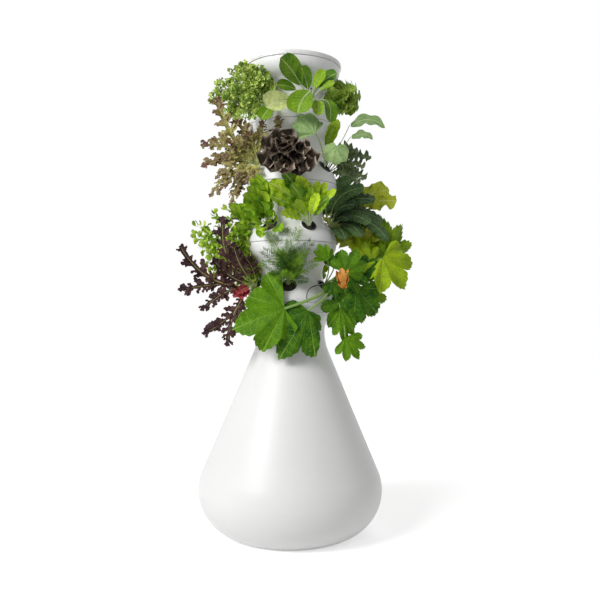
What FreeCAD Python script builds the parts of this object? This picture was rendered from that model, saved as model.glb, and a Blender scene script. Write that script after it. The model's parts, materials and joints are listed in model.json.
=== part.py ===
# Vertical planter tower: a pear-shaped water tank that carries four hourglass growing modules.
# Each module twists onto the one below and holds six angled ports with a net cup, a grow plug and a plant.
# A pump in the tank lifts water through a central riser to a shower disc under the lid.
# Millimetres, +Z up, origin on the floor at the tower's axis. The front of the tower faces -Y.

import FreeCAD, Part
import math
import os
import re
import Sketcher
from FreeCAD import Placement, Rotation, Vector

doc = FreeCAD.newDocument("planter_tower")
dims = doc.addObject("Spreadsheet::Sheet", "dims")
cells = []
nodes = {}

X_AXIS = Vector(1, 0, 0)
Y_AXIS = Vector(0, 1, 0)
Z_AXIS = Vector(0, 0, 1)


# The sheet of sizes

def size(alias, number):
    """Put one size in the sheet, beside its name in plain words."""
    cells.append(alias)
    row = len(cells)
    dims.set("A%d" % row, alias.replace("_", " "))
    dims.set("B%d" % row, str(number))
    dims.setAlias("B%d" % row, alias)


def work_out(alias, formula):
    """Put a size that follows from others in the sheet."""
    size(alias, "=" + formula)


def full(expression):
    """Write the sheet's name before each size in an expression."""
    return re.sub(r"[a-z]+(?:_[a-z]+)+", lambda found: "dims." + found.group(0), str(expression))


def value(expression):
    """The number that an expression of sizes has now."""
    return float(dims.evalExpression(full(expression)))


# Each name below is one driving size. The loop after them puts them all in the sheet.

known_names = set(globals()) | {"known_names"}

# Water tank
tank_radius = 306  # largest radius of the tank
tank_belly_height = 140  # height of the largest radius above the floor
tank_foot_radius = 210  # radius of the flat foot on the floor
tank_shoulder_round = 150  # radius of the shoulder above the belly
tank_wall = 5  # wall of the tank
neck_radius = 111  # narrowest radius of the neck
neck_drop = 95  # how far the narrowest place lies below the lowest module's seam
neck_lower_round = 180  # radius of the curve from the cone into the neck
flare_angle = 30  # slope of the flare above the neck, degrees from upright
collar_bottom_radius = 137.3  # radius of the seam between tank and collar
collar_height = 32  # how far that seam lies below the lowest module's seam
seam_chamfer = 1  # bevel on both sides of that seam
mouth_radius = 124.5  # bore of the tank's mouth
mouth_depth = 14  # depth of that bore
collar_skirt_wall = 3  # wall of the collar's skirt in the mouth
collar_flange = 4  # thickness of the collar's floor

# Tower
tower_base_height = 760  # height of the lowest module's seam
module_pitch = 195  # height of one module from seam to seam
seam_radius = 149  # outer radius of the modules at their seams
top_radius = 157  # outer radius of the top module's rim
waist_radius = 102  # outer radius of a module's waist
slope_fullness = 0.88  # how full the slopes are: 1 leaves no straight stretch
belly_share = 0.5  # share of the bending that the belly takes, the waist takes the rest
module_wall = 3  # wall of a module
seam_gap = 1.2  # open seam between two modules
edge_round = 1.5  # rounding of the rims beside a seam
front_azimuth = 266  # direction of the lowest module's front port, degrees from +X

# Twist lock
lock_inset = 9  # rim radius less the spigot's outer radius
lock_depth = 13  # depth of the spigot below the seam
lock_clearance = 0.3  # radial clearance of the spigot
spigot_wall = 3  # wall of the spigot
spigot_web = 5  # height of the web that carries the spigot
ledge_lap = 0.5  # how far the ledge reaches past the spigot's inner face
ledge_thickness = 3  # thickness of the ledge's edge
lug_reach = 2.8  # how far a lug stands out of the spigot
lug_height = 5.6  # height of a lug
lug_headroom = 0.2  # clearance under and over a lug
lug_angle = 14  # angle that a lug covers
lug_play = 0.5  # angle between a lug and the end of its slot
twist_angle = 18  # turn between locked and free
port_count = 6  # ports, lugs and slots of one module

# Ports and what they hold
port_height = 53  # height of a port's lip above the module's lower seam
port_elevation = 42  # angle of a port's axis above level
port_stand = 3  # how far the lip stands out of the slope
port_wall = 4  # wall of a port's tube
port_tube_length = 30  # length of a port's tube
lip_round = 1.5  # rounding of the lip
cup_clearance = 0.3  # radial clearance of a cup in its port
cup_top_radius = 22.9  # outer radius of a net cup under its rim
cup_bottom_radius = 17  # outer radius of its floor
cup_rim_radius = 25.5  # radius of its rim
cup_rim_thickness = 1.8  # thickness of its rim
cup_depth = 45  # depth of a cup below the lip
cup_wall = 1.4  # wall of a cup
cup_slot_width = 5  # width of a root slot
cup_slot_margin = 6  # cup wall left under and over a slot
cup_drain_radius = 6  # radius of the hole in a cup's floor
plug_clearance = 0.3  # gap between plug and cup
plug_length = 33  # length of a grow plug
plug_swell = 2.5  # how much wider a plug is at its top
crown_radius = 8  # radius of a plant's crown
crown_length = 17  # length of a crown above its plug
leaf_sector = 28  # how far leaves may reach to either side of their port, degrees about the axis

# Riser
pipe_radius = 13.35  # outer radius of the riser pipe
pipe_wall = 2.6  # wall of the pipe and of its bells
bell_clearance = 0.3  # radial clearance of a pipe in a bell
bell_depth = 26  # depth of a bell
bell_rise = 8  # height of a bell's shoulder above the module's seam

# Shower and lid
disc_thickness = 3  # thickness of the shower disc
disc_hole_radius = 2.5  # radius of a drip hole
disc_inner_ring = 60  # radius of the inner ring of drip holes
disc_outer_ring = 105  # radius of the outer ring of drip holes
disc_inner_count = 12  # drip holes in the inner ring
disc_outer_count = 18  # drip holes in the outer ring
nozzle_stand = 6  # height of the riser's end above the shower disc
spray_cap_radius = 21  # radius of the spray cap
spray_cap_height = 7  # height of the spray cap above the riser's end
lid_overhang = 3  # how far the lid reaches past the rim
lid_height = 15  # height of the lid above its seam
lid_wall = 3  # wall of the lid
lid_round = 4  # rounding of the lid's upper edge
lid_crown = 4  # rise of the lid's middle
lid_band = 4.5  # height of the lid's lower band
lid_groove = 1  # width and depth of the groove above that band

# Fill hatch at the back
hatch_height = 400  # height of the hatch's middle
hatch_radius = 56  # radius of the opening
hatch_wall = 8  # wall of its raised frame
hatch_stand = 12  # how far the frame stands out of the cone's crest
hatch_frame_depth = 32  # length of the frame's tube
gasket_thickness = 1.6  # thickness of the gasket
gasket_width = 5  # width of the gasket
cover_wall = 3  # wall of the hatch cover
cover_skirt = 5  # depth of its skirt over the frame
cover_clearance = 0.6  # gap between skirt and frame
hinge_offset = 9  # distance from the cover's edge to the hinge pin
knuckle_radius = 5  # radius of a hinge knuckle
knuckle_width = 26  # width of the cover's knuckle
ear_width = 8  # width of each ear on the tank
ear_gap = 0.5  # side gap between knuckle and ear
pin_radius = 2  # radius of the hinge pin
pin_clearance = 0.05  # running clearance of the pin
tab_width = 34  # width of the finger tab
tab_length = 12  # length of the finger tab

# Cable grommet at the back
grommet_drop = 5  # how far the cable grommet sits below the narrowest place
grommet_radius = 9  # radius of the hole in the tank
grommet_bore = 4.5  # radius of the grommet's own hole
grommet_flange = 3  # how far its flanges reach past the hole
grommet_lip = 2.5  # thickness of its flanges

# Pump
pump_foot_height = 7  # height of the suction feet
pump_foot_radius = 9  # radius of a suction foot
pump_foot_neck = 4  # radius of a foot's stem
pump_plate = 4  # thickness of the pump's base plate
volute_radius = 32  # outer radius of the pump's volute
volute_wall = 3  # wall of the volute
volute_length = 28  # length of the volute along the motor's axis
motor_radius = 28  # radius of the motor can
motor_length = 62  # length of the motor can
magnet_radius = 9  # radius of the rotor's magnet
magnet_length = 44  # length of the magnet
rotor_clearance = 0.6  # gap round the magnet
shaft_radius = 1.5  # radius of the rotor shaft
shaft_clearance = 0.04  # running clearance of the rotor on its shaft
impeller_radius = 23  # radius of the impeller
impeller_disc = 2  # thickness of the impeller's disc
blade_height = 10  # height of the impeller's blades
blade_thickness = 2  # thickness of a blade
blade_count = 6  # blades of the impeller
intake_radius = 9  # radius of the intake hole
cover_plate = 3  # thickness of the volute's front cover
strainer_length = 26  # length of the strainer
strainer_wall = 2  # wall of the strainer
strainer_slots = 10  # slots round the strainer
outlet_stand = 30  # height of the outlet stub above the volute

for alias, number in list(globals().items()):
    if alias not in known_names:
        size(alias, number)


# What follows from those sizes
work_out("rim_low", "seam_gap / 2")
work_out("rim_high", "module_pitch - seam_gap / 2")
work_out("belly_low", "rim_low + edge_round")
work_out("belly_high", "rim_high - edge_round")
work_out("module_middle", "module_pitch / 2")
for rim in ("seam", "top"):
    names = {"rim": rim}
    work_out("%(rim)s_drop" % names, "%(rim)s_radius - waist_radius" % names)
    work_out(
        "%(rim)s_slope" % names,
        "2 * atan(slope_fullness * %(rim)s_drop / (module_middle - belly_low)) / 1deg" % names,
    )
    work_out(
        "%(rim)s_bend" % names,
        "((module_middle - belly_low) * sin(%(rim)s_slope) - %(rim)s_drop * cos(%(rim)s_slope))"
        " / (1 - cos(%(rim)s_slope))" % names,
    )
    work_out("%(rim)s_belly_round" % names, "%(rim)s_bend * belly_share" % names)
    work_out("%(rim)s_waist_round" % names, "%(rim)s_bend - %(rim)s_belly_round" % names)
work_out("slope_start_radius", "seam_radius - seam_belly_round * (1 - cos(seam_slope))")
work_out("slope_start_height", "belly_low + seam_belly_round * sin(seam_slope)")
work_out(
    "port_radius",
    "slope_start_radius - (port_height - slope_start_height) * tan(seam_slope) + port_stand",
)
work_out("port_bore", "cup_top_radius + cup_clearance")
work_out("port_outer", "port_bore + port_wall")
work_out("port_step", "360 / port_count")
work_out("tank_foot_reach", "tank_radius - tank_foot_radius")
work_out("tank_under_round", "(tank_foot_reach * tank_foot_reach + tank_belly_height * tank_belly_height)"
         " / (2 * tank_foot_reach)")
work_out("cone_run", "neck_radius + neck_lower_round - tank_radius + tank_shoulder_round")
work_out("neck_height", "tower_base_height - neck_drop")
work_out("collar_bottom_height", "tower_base_height - collar_height")
work_out("cone_rise", "neck_height - tank_belly_height")
work_out("cone_angle", "(atan2(cone_rise; cone_run) - acos((tank_shoulder_round + neck_lower_round)"
         " / sqrt(cone_run * cone_run + cone_rise * cone_rise))) / 1deg")
work_out("cone_start_radius", "tank_radius - tank_shoulder_round * (1 - cos(cone_angle))")
work_out("cone_start_height", "tank_belly_height + tank_shoulder_round * sin(cone_angle)")
work_out("neck_flare_run", "collar_bottom_radius - neck_radius")
work_out("neck_flare_rise", "collar_bottom_height - seam_chamfer - neck_height")
work_out("neck_upper_round", "(neck_flare_rise * sin(flare_angle) - neck_flare_run * cos(flare_angle))"
         " / (1 - cos(flare_angle))")
work_out("collar_run", "seam_radius - collar_bottom_radius")
work_out("collar_rise", "collar_height - seam_gap / 2 - edge_round - seam_chamfer")
work_out(
    "collar_round",
    "(collar_rise * sin(flare_angle) - collar_run * cos(flare_angle)) / (1 - cos(flare_angle))",
)
work_out("hatch_crest", "cone_start_radius - (hatch_height - cone_start_height) * tan(cone_angle)")
work_out("hatch_frame_radius", "hatch_radius + hatch_wall")
work_out("cover_radius", "hatch_frame_radius + cover_clearance + cover_wall")
work_out("hinge_reach", "cover_radius + hinge_offset")
work_out("hinge_drop", "cover_skirt - gasket_thickness + cover_clearance")
work_out("grommet_height", "neck_height - grommet_drop")
work_out("grommet_far", "neck_radius + (grommet_drop + grommet_radius + grommet_flange)"
         " * (grommet_drop + grommet_radius + grommet_flange) / (2 * neck_lower_round) + lock_clearance")
work_out("grommet_near", "neck_radius - tank_wall - (grommet_radius + grommet_flange)"
         " * (grommet_radius + grommet_flange) / (2 * (neck_radius - tank_wall)) - lock_clearance")
work_out("volute_height", "tank_wall + pump_foot_height + pump_plate + volute_radius")
work_out("outlet_top", "volute_height + volute_radius + outlet_stand")
work_out("tower_height", "tower_base_height + 4 * module_pitch")
work_out("cup_floor", "cup_depth - cup_wall")
work_out("plug_top", "cup_floor - plug_length")
work_out("plug_bottom_radius", "cup_bottom_radius - cup_wall - plug_clearance")
work_out("disc_radius", "top_radius - lock_inset")


doc.recompute()


# Sketches and features

def plane_of(body, role):
    """One of a body's own origin planes or axes."""
    return [feature for feature in body.Origin.OriginFeatures if feature.Role == role][0]


def new_body(label):
    """An empty body for one sub-part."""
    body = doc.addObject("PartDesign::Body", label)
    body.Label = label
    return body


def new_sketch(body, name, plane="XZ_Plane", shift=None, turn=None):
    """A sketch on an origin plane. shift moves it by sizes, turn is an axis and an angle."""
    sketch = body.newObject("Sketcher::SketchObject", name)
    sketch.AttachmentSupport = [(plane_of(body, plane), "")]
    sketch.MapMode = "FlatFace"
    base = Vector(*[value(part) for part in shift or (0, 0, 0)])
    axis, angle = turn or (Z_AXIS, 0)
    sketch.AttachmentOffset = Placement(base, Rotation(axis, value(angle)))
    for letter, part in zip("xyz", shift or ()):
        sketch.setExpression("AttachmentOffset.Base." + letter, full(part))
    if turn:
        sketch.setExpression("AttachmentOffset.Rotation.Angle", full(angle))
    return sketch


def arc_between(start, end, radius, side):
    """The short arc between two points that bulges out of or into the stock on the left of the path."""
    chord = end - start
    bulge = Vector(chord.y, -chord.x, 0).normalize()
    if side == "in":
        bulge = bulge * -1
    depth = math.sqrt(max(radius ** 2 - (chord.Length / 2) ** 2, 0))
    centre = (start + end) * 0.5 - bulge * depth
    return Part.Arc(start, centre + bulge * radius, end)


def fix_point(sketch, geometry, end, name, corner):
    """Tie one end of a line or arc to its two sizes."""
    for letter, part in zip("XY", corner):
        constraint = Sketcher.Constraint("Distance" + letter, -1, 1, geometry, end, value(part))
        number = sketch.addConstraint(constraint)
        sketch.renameConstraint(number, "%s_%s" % (name, letter.lower()))
        sketch.setExpression("Constraints.%s_%s" % (name, letter.lower()), full(part))


def outline(sketch, corners):
    """Draw a closed outline with the stock on its left.

    A corner is (across, up), or (across, up, radius, side) where an arc leaves it.
    """
    points = [Vector(value(corner[0]), value(corner[1]), 0) for corner in corners]
    ends = []
    for number, corner in enumerate(corners):
        start = points[number]
        finish = points[(number + 1) % len(points)]
        if len(corner) == 2:
            geometry = sketch.addGeometry(Part.LineSegment(start, finish), False)
        else:
            arc = arc_between(start, finish, value(corner[2]), corner[3])
            geometry = sketch.addGeometry(arc, False)
            radius = sketch.addConstraint(Sketcher.Constraint("Radius", geometry, value(corner[2])))
            sketch.renameConstraint(radius, "round_%d" % number)
            sketch.setExpression("Constraints.round_%d" % number, full(corner[2]))
        to_start = [(sketch.getPoint(geometry, end) - start).Length for end in (1, 2)]
        first = 1 if to_start[0] < to_start[1] else 2
        ends.append((geometry, first, 3 - first))
    for number, (geometry, first, last) in enumerate(ends):
        following = ends[(number + 1) % len(ends)]
        sketch.addConstraint(Sketcher.Constraint("Coincident", geometry, last, following[0], following[1]))
        fix_point(sketch, geometry, first, "corner_%d" % number, corners[number][:2])
    return sketch


def box_outline(sketch, low, high):
    """A rectangle between two corners."""
    return outline(sketch, [(low[0], low[1]), (high[0], low[1]), (high[0], high[1]), (low[0], high[1])])


def circle(sketch, radius, middle=("0", "0")):
    """A circle tied to its radius and its middle."""
    centre = Vector(value(middle[0]), value(middle[1]), 0)
    geometry = sketch.addGeometry(Part.Circle(centre, Z_AXIS, value(radius)), False)
    number = sketch.addConstraint(Sketcher.Constraint("Radius", geometry, value(radius)))
    sketch.renameConstraint(number, "circle_radius")
    sketch.setExpression("Constraints.circle_radius", full(radius))
    fix_point(sketch, geometry, 3, "middle", middle)
    return sketch


def turned(body, name, sketch, kind="Revolution", axis="V_Axis", angle=None):
    """Turn a sketch about one of its own axes, all the way or over an angle that it halves."""
    feature = body.newObject("PartDesign::" + kind, name)
    feature.Profile = sketch
    feature.ReferenceAxis = (sketch, [axis])
    feature.Angle = 360
    if angle:
        feature.Midplane = True
        feature.setExpression("Angle", full(angle))
    sketch.Visibility = False
    return feature


def cut_through(body, name, sketch, length=None):
    """A pocket to both sides of its sketch, through everything or over a length."""
    pocket = body.newObject("PartDesign::Pocket", name)
    pocket.Profile = sketch
    pocket.Midplane = True
    pocket.Type = "ThroughAll"
    if length:
        pocket.Type = "Length"
        pocket.setExpression("Length", full(length))
    return pocket


def raised(body, name, sketch, length, both_ways=False, backwards=False):
    """A pad of a sketch."""
    pad = body.newObject("PartDesign::Pad", name)
    pad.Profile = sketch
    pad.Midplane = both_ways
    pad.Reversed = backwards
    pad.setExpression("Length", full(length))
    return pad


def ring_of(body, name, originals, count, role="Z_Axis"):
    """Repeat features round one of the body's axes."""
    pattern = body.newObject("PartDesign::PolarPattern", name)
    pattern.Originals = originals
    pattern.Axis = (plane_of(body, role), [""])
    pattern.Angle = 360
    pattern.setExpression("Occurrences", full(count))
    body.Tip = pattern
    return pattern


def keep(label, item):
    """Note an object as one of the sub-parts to be written out."""
    nodes[label] = item
    return item


def place(item, base, turn=None):
    """Put a finished body where it belongs. base holds sizes, turn is an axis and an angle."""
    axis, angle = turn or (Z_AXIS, 0)
    item.Placement = Placement(Vector(*[value(part) for part in base]), Rotation(axis, value(angle)))
    for letter, part in zip("xyz", base):
        item.setExpression("Placement.Base." + letter, full(part))
    if turn:
        item.setExpression("Placement.Rotation.Angle", full(angle))


# Water tank

def build_tank():
    """The blow-moulded tank: round belly, straight cone, narrow neck and flared mouth in one outline."""
    body = new_body("base_tank")
    sketch = new_sketch(body, "tank_outline")
    wall = "tank_wall"
    outline(sketch, [
        ("0", "0"),
        ("tank_foot_radius", "0", "tank_under_round", "out"),
        ("tank_radius", "tank_belly_height", "tank_shoulder_round", "out"),
        ("cone_start_radius", "cone_start_height"),
        ("neck_radius + neck_lower_round * (1 - cos(cone_angle))",
         "neck_height - neck_lower_round * sin(cone_angle)", "neck_lower_round", "in"),
        ("neck_radius", "neck_height", "neck_upper_round", "in"),
        ("neck_radius + neck_upper_round * (1 - cos(flare_angle))",
         "neck_height + neck_upper_round * sin(flare_angle)"),
        ("collar_bottom_radius", "collar_bottom_height - seam_chamfer"),
        ("collar_bottom_radius - seam_chamfer", "collar_bottom_height"),
        ("mouth_radius", "collar_bottom_height"),
        ("mouth_radius", "collar_bottom_height - mouth_depth"),
        ("neck_radius + neck_upper_round - (neck_upper_round + tank_wall) * cos(flare_angle)",
         "neck_height + (neck_upper_round + tank_wall) * sin(flare_angle)",
         "neck_upper_round + tank_wall", "out"),
        ("neck_radius - tank_wall", "neck_height", "neck_lower_round + tank_wall", "out"),
        ("neck_radius + neck_lower_round - (neck_lower_round + tank_wall) * cos(cone_angle)",
         "neck_height - (neck_lower_round + tank_wall) * sin(cone_angle)"),
        ("cone_start_radius - tank_wall * cos(cone_angle)", "cone_start_height - tank_wall * sin(cone_angle)",
         "tank_shoulder_round - tank_wall", "in"),
        ("tank_radius - tank_wall", "tank_belly_height", "tank_under_round - tank_wall", "in"),
        ("tank_radius - tank_under_round"
         " + sqrt((tank_under_round - tank_wall) * (tank_under_round - tank_wall)"
         " - (tank_belly_height - tank_wall) * (tank_belly_height - tank_wall))", wall),
        ("0", wall),
    ])
    turned(body, "tank_shell", sketch)

    # The raised round frame of the fill hatch stands square on the cone at the back.
    square_on = (Z_AXIS * -1, "90 - cone_angle")
    at_hatch = ("hatch_crest", "hatch_height", "0")
    frame = new_sketch(body, "hatch_frame_outline", "YZ_Plane", at_hatch, square_on)
    box_outline(frame, ("hatch_radius", "hatch_stand - hatch_frame_depth"),
                ("hatch_frame_radius", "hatch_stand"))
    turned(body, "hatch_frame", frame)
    bore = new_sketch(body, "hatch_bore_outline", "YZ_Plane", at_hatch, square_on)
    box_outline(bore, ("0", "-2 * hatch_frame_depth"), ("hatch_radius", "2 * hatch_stand"))
    turned(body, "hatch_bore", bore, "Groove")

    # Two ears on the frame carry the hinge pin above the opening, lower than the cover's skirt.
    pin_level = "hatch_stand - hinge_drop"
    ear = new_sketch(body, "ear_outline", "YZ_Plane", at_hatch, square_on)
    outline(ear, [
        ("-hinge_reach - knuckle_radius", pin_level),
        ("-hinge_reach - knuckle_radius", "-tank_wall / 2"),
        ("hatch_wall * 0.75 - hatch_frame_radius", "-tank_wall / 2"),
        ("hatch_wall * 0.75 - hatch_frame_radius", pin_level),
        ("-hinge_reach + knuckle_radius", pin_level, "knuckle_radius", "out"),
        ("-hinge_reach", pin_level + " + knuckle_radius", "knuckle_radius", "out"),
    ])
    raised(body, "ear_stock", ear, "knuckle_width + 2 * ear_width + 2 * ear_gap", both_ways=True)
    gap = new_sketch(body, "ear_gap_outline", "YZ_Plane", at_hatch, square_on)
    box_outline(gap, ("-hinge_reach - 2 * knuckle_radius", pin_level + " - knuckle_radius - ear_gap"),
                ("-hinge_reach + knuckle_radius + ear_gap", pin_level + " + 2 * knuckle_radius"))
    cut_through(body, "ear_gap_cut", gap, "knuckle_width + 2 * ear_gap")
    pin_hole = new_sketch(body, "pin_hole_outline", "YZ_Plane", at_hatch, square_on)
    circle(pin_hole, "pin_radius + pin_clearance", ("-hinge_reach", pin_level))
    cut_through(body, "pin_hole", pin_hole)

    cable = new_sketch(body, "cable_hole_outline", "YZ_Plane", ("0", "grommet_height", "0"))
    box_outline(cable, ("neck_radius / 2", "0"), ("2 * neck_radius", "grommet_radius"))
    turned(body, "cable_hole", cable, "Groove", axis="H_Axis")
    return keep("base_tank", body)


def cut_lock_slots(body, rim_radius, rim_plane):
    """L-shaped slots in a rim: drop the lug in at the notch, then turn it under the lip."""
    inner = rim_radius + " - lock_inset - lock_clearance"
    outer = rim_radius + " - lock_inset + lug_reach + lock_clearance"
    floor = rim_plane + " - lock_depth"
    run = new_sketch(body, "slot_outline", turn=(Y_AXIS, "port_step / 2 + twist_angle / 2"))
    box_outline(run, (inner, floor), (outer, floor + " + lug_height + 2 * lug_headroom"))
    slot = turned(body, "slot", run, "Groove", angle="lug_angle + twist_angle + 2 * lug_play")
    entry = new_sketch(body, "notch_outline", turn=(Y_AXIS, "port_step / 2 + twist_angle"))
    box_outline(entry, (inner, floor + " + lug_height / 2"), (outer, rim_plane + " + edge_round"))
    notch = turned(body, "notch", entry, "Groove", angle="lug_angle + 4 * lug_play")
    ring_of(body, "slots", [slot, notch], "port_count")


def rim_corners(rim_radius, rim_plane):
    """Corners over a rim, from its outer rounding to the ledge that the next spigot stands on."""
    return [
        (rim_radius, rim_plane + " - seam_gap / 2 - edge_round", "edge_round", "out"),
        (rim_radius + " - edge_round", rim_plane + " - seam_gap / 2"),
        (rim_radius + " - lock_inset + lock_clearance", rim_plane + " - seam_gap / 2"),
        (rim_radius + " - lock_inset + lock_clearance", rim_plane + " - lock_depth"),
        (rim_radius + " - lock_inset - spigot_wall - ledge_lap", rim_plane + " - lock_depth"),
        (rim_radius + " - lock_inset - spigot_wall - ledge_lap",
         rim_plane + " - lock_depth - ledge_thickness"),
    ]


def build_collar():
    """The collar ring that closes the tank's mouth and takes the lowest module."""
    body = new_body("neck_collar")
    sketch = new_sketch(body, "collar_outline")
    skirt = "mouth_radius - lock_clearance"
    corners = [
        ("collar_bottom_radius - seam_chamfer", "0"),
        ("collar_bottom_radius", "seam_chamfer"),
        ("seam_radius - collar_round * (1 - cos(flare_angle))",
         "collar_height - seam_gap / 2 - edge_round - collar_round * sin(flare_angle)",
         "collar_round", "out"),
    ]
    corners += rim_corners("seam_radius", "collar_height")
    corners += [
        ("collar_bottom_radius - collar_flange", "collar_flange + seam_chamfer"),
        (skirt + " - collar_skirt_wall", "collar_flange"),
        (skirt + " - collar_skirt_wall", "1 - mouth_depth"),
        (skirt, "1 - mouth_depth"),
        (skirt, "0"),
    ]
    outline(sketch, corners)
    turned(body, "collar_ring", sketch)
    cut_lock_slots(body, "seam_radius", "collar_height")
    place(body, ("0", "0", "collar_bottom_height"), (Z_AXIS, "front_azimuth + port_step / 2"))
    return keep("neck_collar", body)


# Growing modules

def bend_points(rim, wall):
    """Ends of the straight slope below a rim, measured on a skin that lies wall inside the outer one."""
    names = {"rim": rim, "wall": wall}
    below_belly = (
        "%(rim)s_radius - %(rim)s_belly_round"
        " + (%(rim)s_belly_round - %(wall)s) * cos(%(rim)s_slope)" % names,
        "(%(rim)s_belly_round - %(wall)s) * sin(%(rim)s_slope)" % names,
    )
    beside_waist = (
        "waist_radius + %(rim)s_waist_round"
        " - (%(rim)s_waist_round + %(wall)s) * cos(%(rim)s_slope)" % names,
        "(%(rim)s_waist_round + %(wall)s) * sin(%(rim)s_slope)" % names,
    )
    return below_belly, beside_waist


def place_module(body, level):
    """Stack a module at its level, turned by half a port step against the one below."""
    steps_up = 4 - level
    place(body, ("0", "0", "tower_base_height + %d * module_pitch" % steps_up),
          (Z_AXIS, "front_azimuth + %d * port_step / 2" % (steps_up % 2)))


def build_module(label, level, rim):
    """One hourglass module. level counts from 1 at the top, rim names its upper rim's size."""
    body = new_body(label)
    sketch = new_sketch(body, "module_outline")
    low_belly, low_waist = bend_points("seam", "0")
    high_belly, high_waist = bend_points(rim, "0")
    low_belly_in, low_waist_in = bend_points("seam", "module_wall")
    high_belly_in, high_waist_in = bend_points(rim, "module_wall")
    names = {"rim": rim}
    corners = [
        ("seam_radius - edge_round", "rim_low", "edge_round", "out"),
        ("seam_radius", "belly_low", "seam_belly_round", "out"),
        (low_belly[0], "belly_low + " + low_belly[1]),
        (low_waist[0], "module_middle - " + low_waist[1], "seam_waist_round", "in"),
        ("waist_radius", "module_middle", "%(rim)s_waist_round" % names, "in"),
        (high_waist[0], "module_middle + " + high_waist[1]),
        (high_belly[0], "belly_high - " + high_belly[1], "%(rim)s_belly_round" % names, "out"),
    ]
    corners += rim_corners("%(rim)s_radius" % names, "module_pitch")
    corners += [
        ("%(rim)s_radius - %(rim)s_belly_round"
         " + (%(rim)s_belly_round - module_wall) * cos(%(rim)s_slope * 0.6)" % names,
         "belly_high - (%(rim)s_belly_round - module_wall) * sin(%(rim)s_slope * 0.6)" % names,
         "%(rim)s_belly_round - module_wall" % names, "in"),
        (high_belly_in[0], "belly_high - " + high_belly_in[1]),
        (high_waist_in[0], "module_middle + " + high_waist_in[1],
         "%(rim)s_waist_round + module_wall" % names, "out"),
        ("waist_radius - module_wall", "module_middle", "seam_waist_round + module_wall", "out"),
        (low_waist_in[0], "module_middle - " + low_waist_in[1]),
        (low_belly_in[0], "belly_low + " + low_belly_in[1], "seam_belly_round - module_wall", "in"),
        ("seam_radius - seam_belly_round + (seam_belly_round - module_wall) * cos(seam_slope / 4)",
         "belly_low + (seam_belly_round - module_wall) * sin(seam_slope / 4)"),
        ("seam_radius - lock_inset - spigot_wall", "rim_low + spigot_web"),
        ("seam_radius - lock_inset - spigot_wall", "-lock_depth"),
        ("seam_radius - lock_inset", "-lock_depth"),
        ("seam_radius - lock_inset", "rim_low"),
    ]
    outline(sketch, corners)
    turned(body, "hourglass", sketch)

    lug_outline = new_sketch(body, "lug_outline")
    box_outline(lug_outline, ("seam_radius - lock_inset - spigot_wall / 2", "lug_headroom - lock_depth"),
                ("seam_radius - lock_inset + lug_reach", "lug_headroom + lug_height - lock_depth"))
    lug = turned(body, "lug", lug_outline, angle="lug_angle")
    ring_of(body, "lugs", [lug], "port_count")
    if level > 1:
        cut_lock_slots(body, "seam_radius", "module_pitch")

    # A port is a short tube, turned about its own slanted axis.
    at_lip = ("port_radius", "port_height", "0")
    tilt = (Z_AXIS * -1, "90 - port_elevation")
    tube_outline = new_sketch(body, "port_outline", shift=at_lip, turn=tilt)
    outline(tube_outline, [
        ("port_bore", "-port_tube_length"),
        ("port_outer", "-port_tube_length"),
        ("port_outer", "-lip_round", "lip_round", "out"),
        ("port_outer - lip_round", "0"),
        ("port_bore", "0"),
    ])
    tube = turned(body, "port_tube", tube_outline)
    bore_outline = new_sketch(body, "bore_outline", shift=at_lip, turn=tilt)
    box_outline(bore_outline, ("0", "-port_tube_length - port_wall"), ("port_bore", "port_tube_length"))
    bore = turned(body, "port_bore", bore_outline, "Groove")
    ring_of(body, "ports", [tube, bore], "port_count")

    place_module(body, level)
    return keep(label, body)


def copy_module(label, source, level):
    """Another module out of the same mould, placed at its own level."""
    body = new_body(label)
    moulding = body.newObject("PartDesign::FeatureBase", "moulding")
    moulding.BaseFeature = source
    body.Tip = moulding
    place_module(body, level)
    return keep(label, body)


# Net cups and grow plugs

def port_frame(level, index):
    """Where a port is: its origin is the middle of the lip, its Z axis points out of the port."""
    steps_up = 4 - level
    azimuth = value("front_azimuth + %d * port_step / 2 + %d * port_step" % (steps_up % 2, index))
    height = value("tower_base_height + %d * module_pitch + port_height" % steps_up)
    lean = Placement(Vector(value("port_radius"), 0, height), Rotation(Y_AXIS, value("90 - port_elevation")))
    return Placement(Vector(0, 0, 0), Rotation(Z_AXIS, azimuth)) * lean


def build_cup():
    """One net cup in its port's own frame."""
    body = new_body("one_net_cup")
    sketch = new_sketch(body, "cup_outline")
    outline(sketch, [
        ("0", "-cup_depth"),
        ("cup_bottom_radius", "-cup_depth"),
        ("cup_top_radius", "0"),
        ("cup_rim_radius", "0"),
        ("cup_rim_radius", "cup_rim_thickness"),
        ("cup_top_radius - cup_wall", "cup_rim_thickness"),
        ("cup_bottom_radius - cup_wall", "-cup_floor"),
        ("0", "-cup_floor"),
    ])
    turned(body, "cup_shell", sketch)
    drain = new_sketch(body, "drain_outline")
    box_outline(drain, ("0", "-2 * cup_depth"), ("cup_drain_radius", "-cup_depth / 2"))
    turned(body, "drain", drain, "Groove")
    slit = new_sketch(body, "root_slot_outline")
    box_outline(slit, ("-cup_slot_width / 2", "cup_slot_margin - cup_depth"),
                ("cup_slot_width / 2", "-2 * cup_slot_margin"))
    slot = cut_through(body, "root_slot", slit)
    ring_of(body, "root_slots", [slot], "port_count / 2")
    return body


def build_plug():
    """One grow plug in its port's own frame."""
    plug = doc.addObject("Part::Cone", "one_grow_plug")
    plug.setExpression("Radius1", full("plug_bottom_radius"))
    plug.setExpression("Radius2", full("plug_bottom_radius + plug_swell"))
    plug.setExpression("Height", full("plug_length"))
    plug.setExpression("Placement.Base.z", full("-cup_floor"))
    return plug


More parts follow.
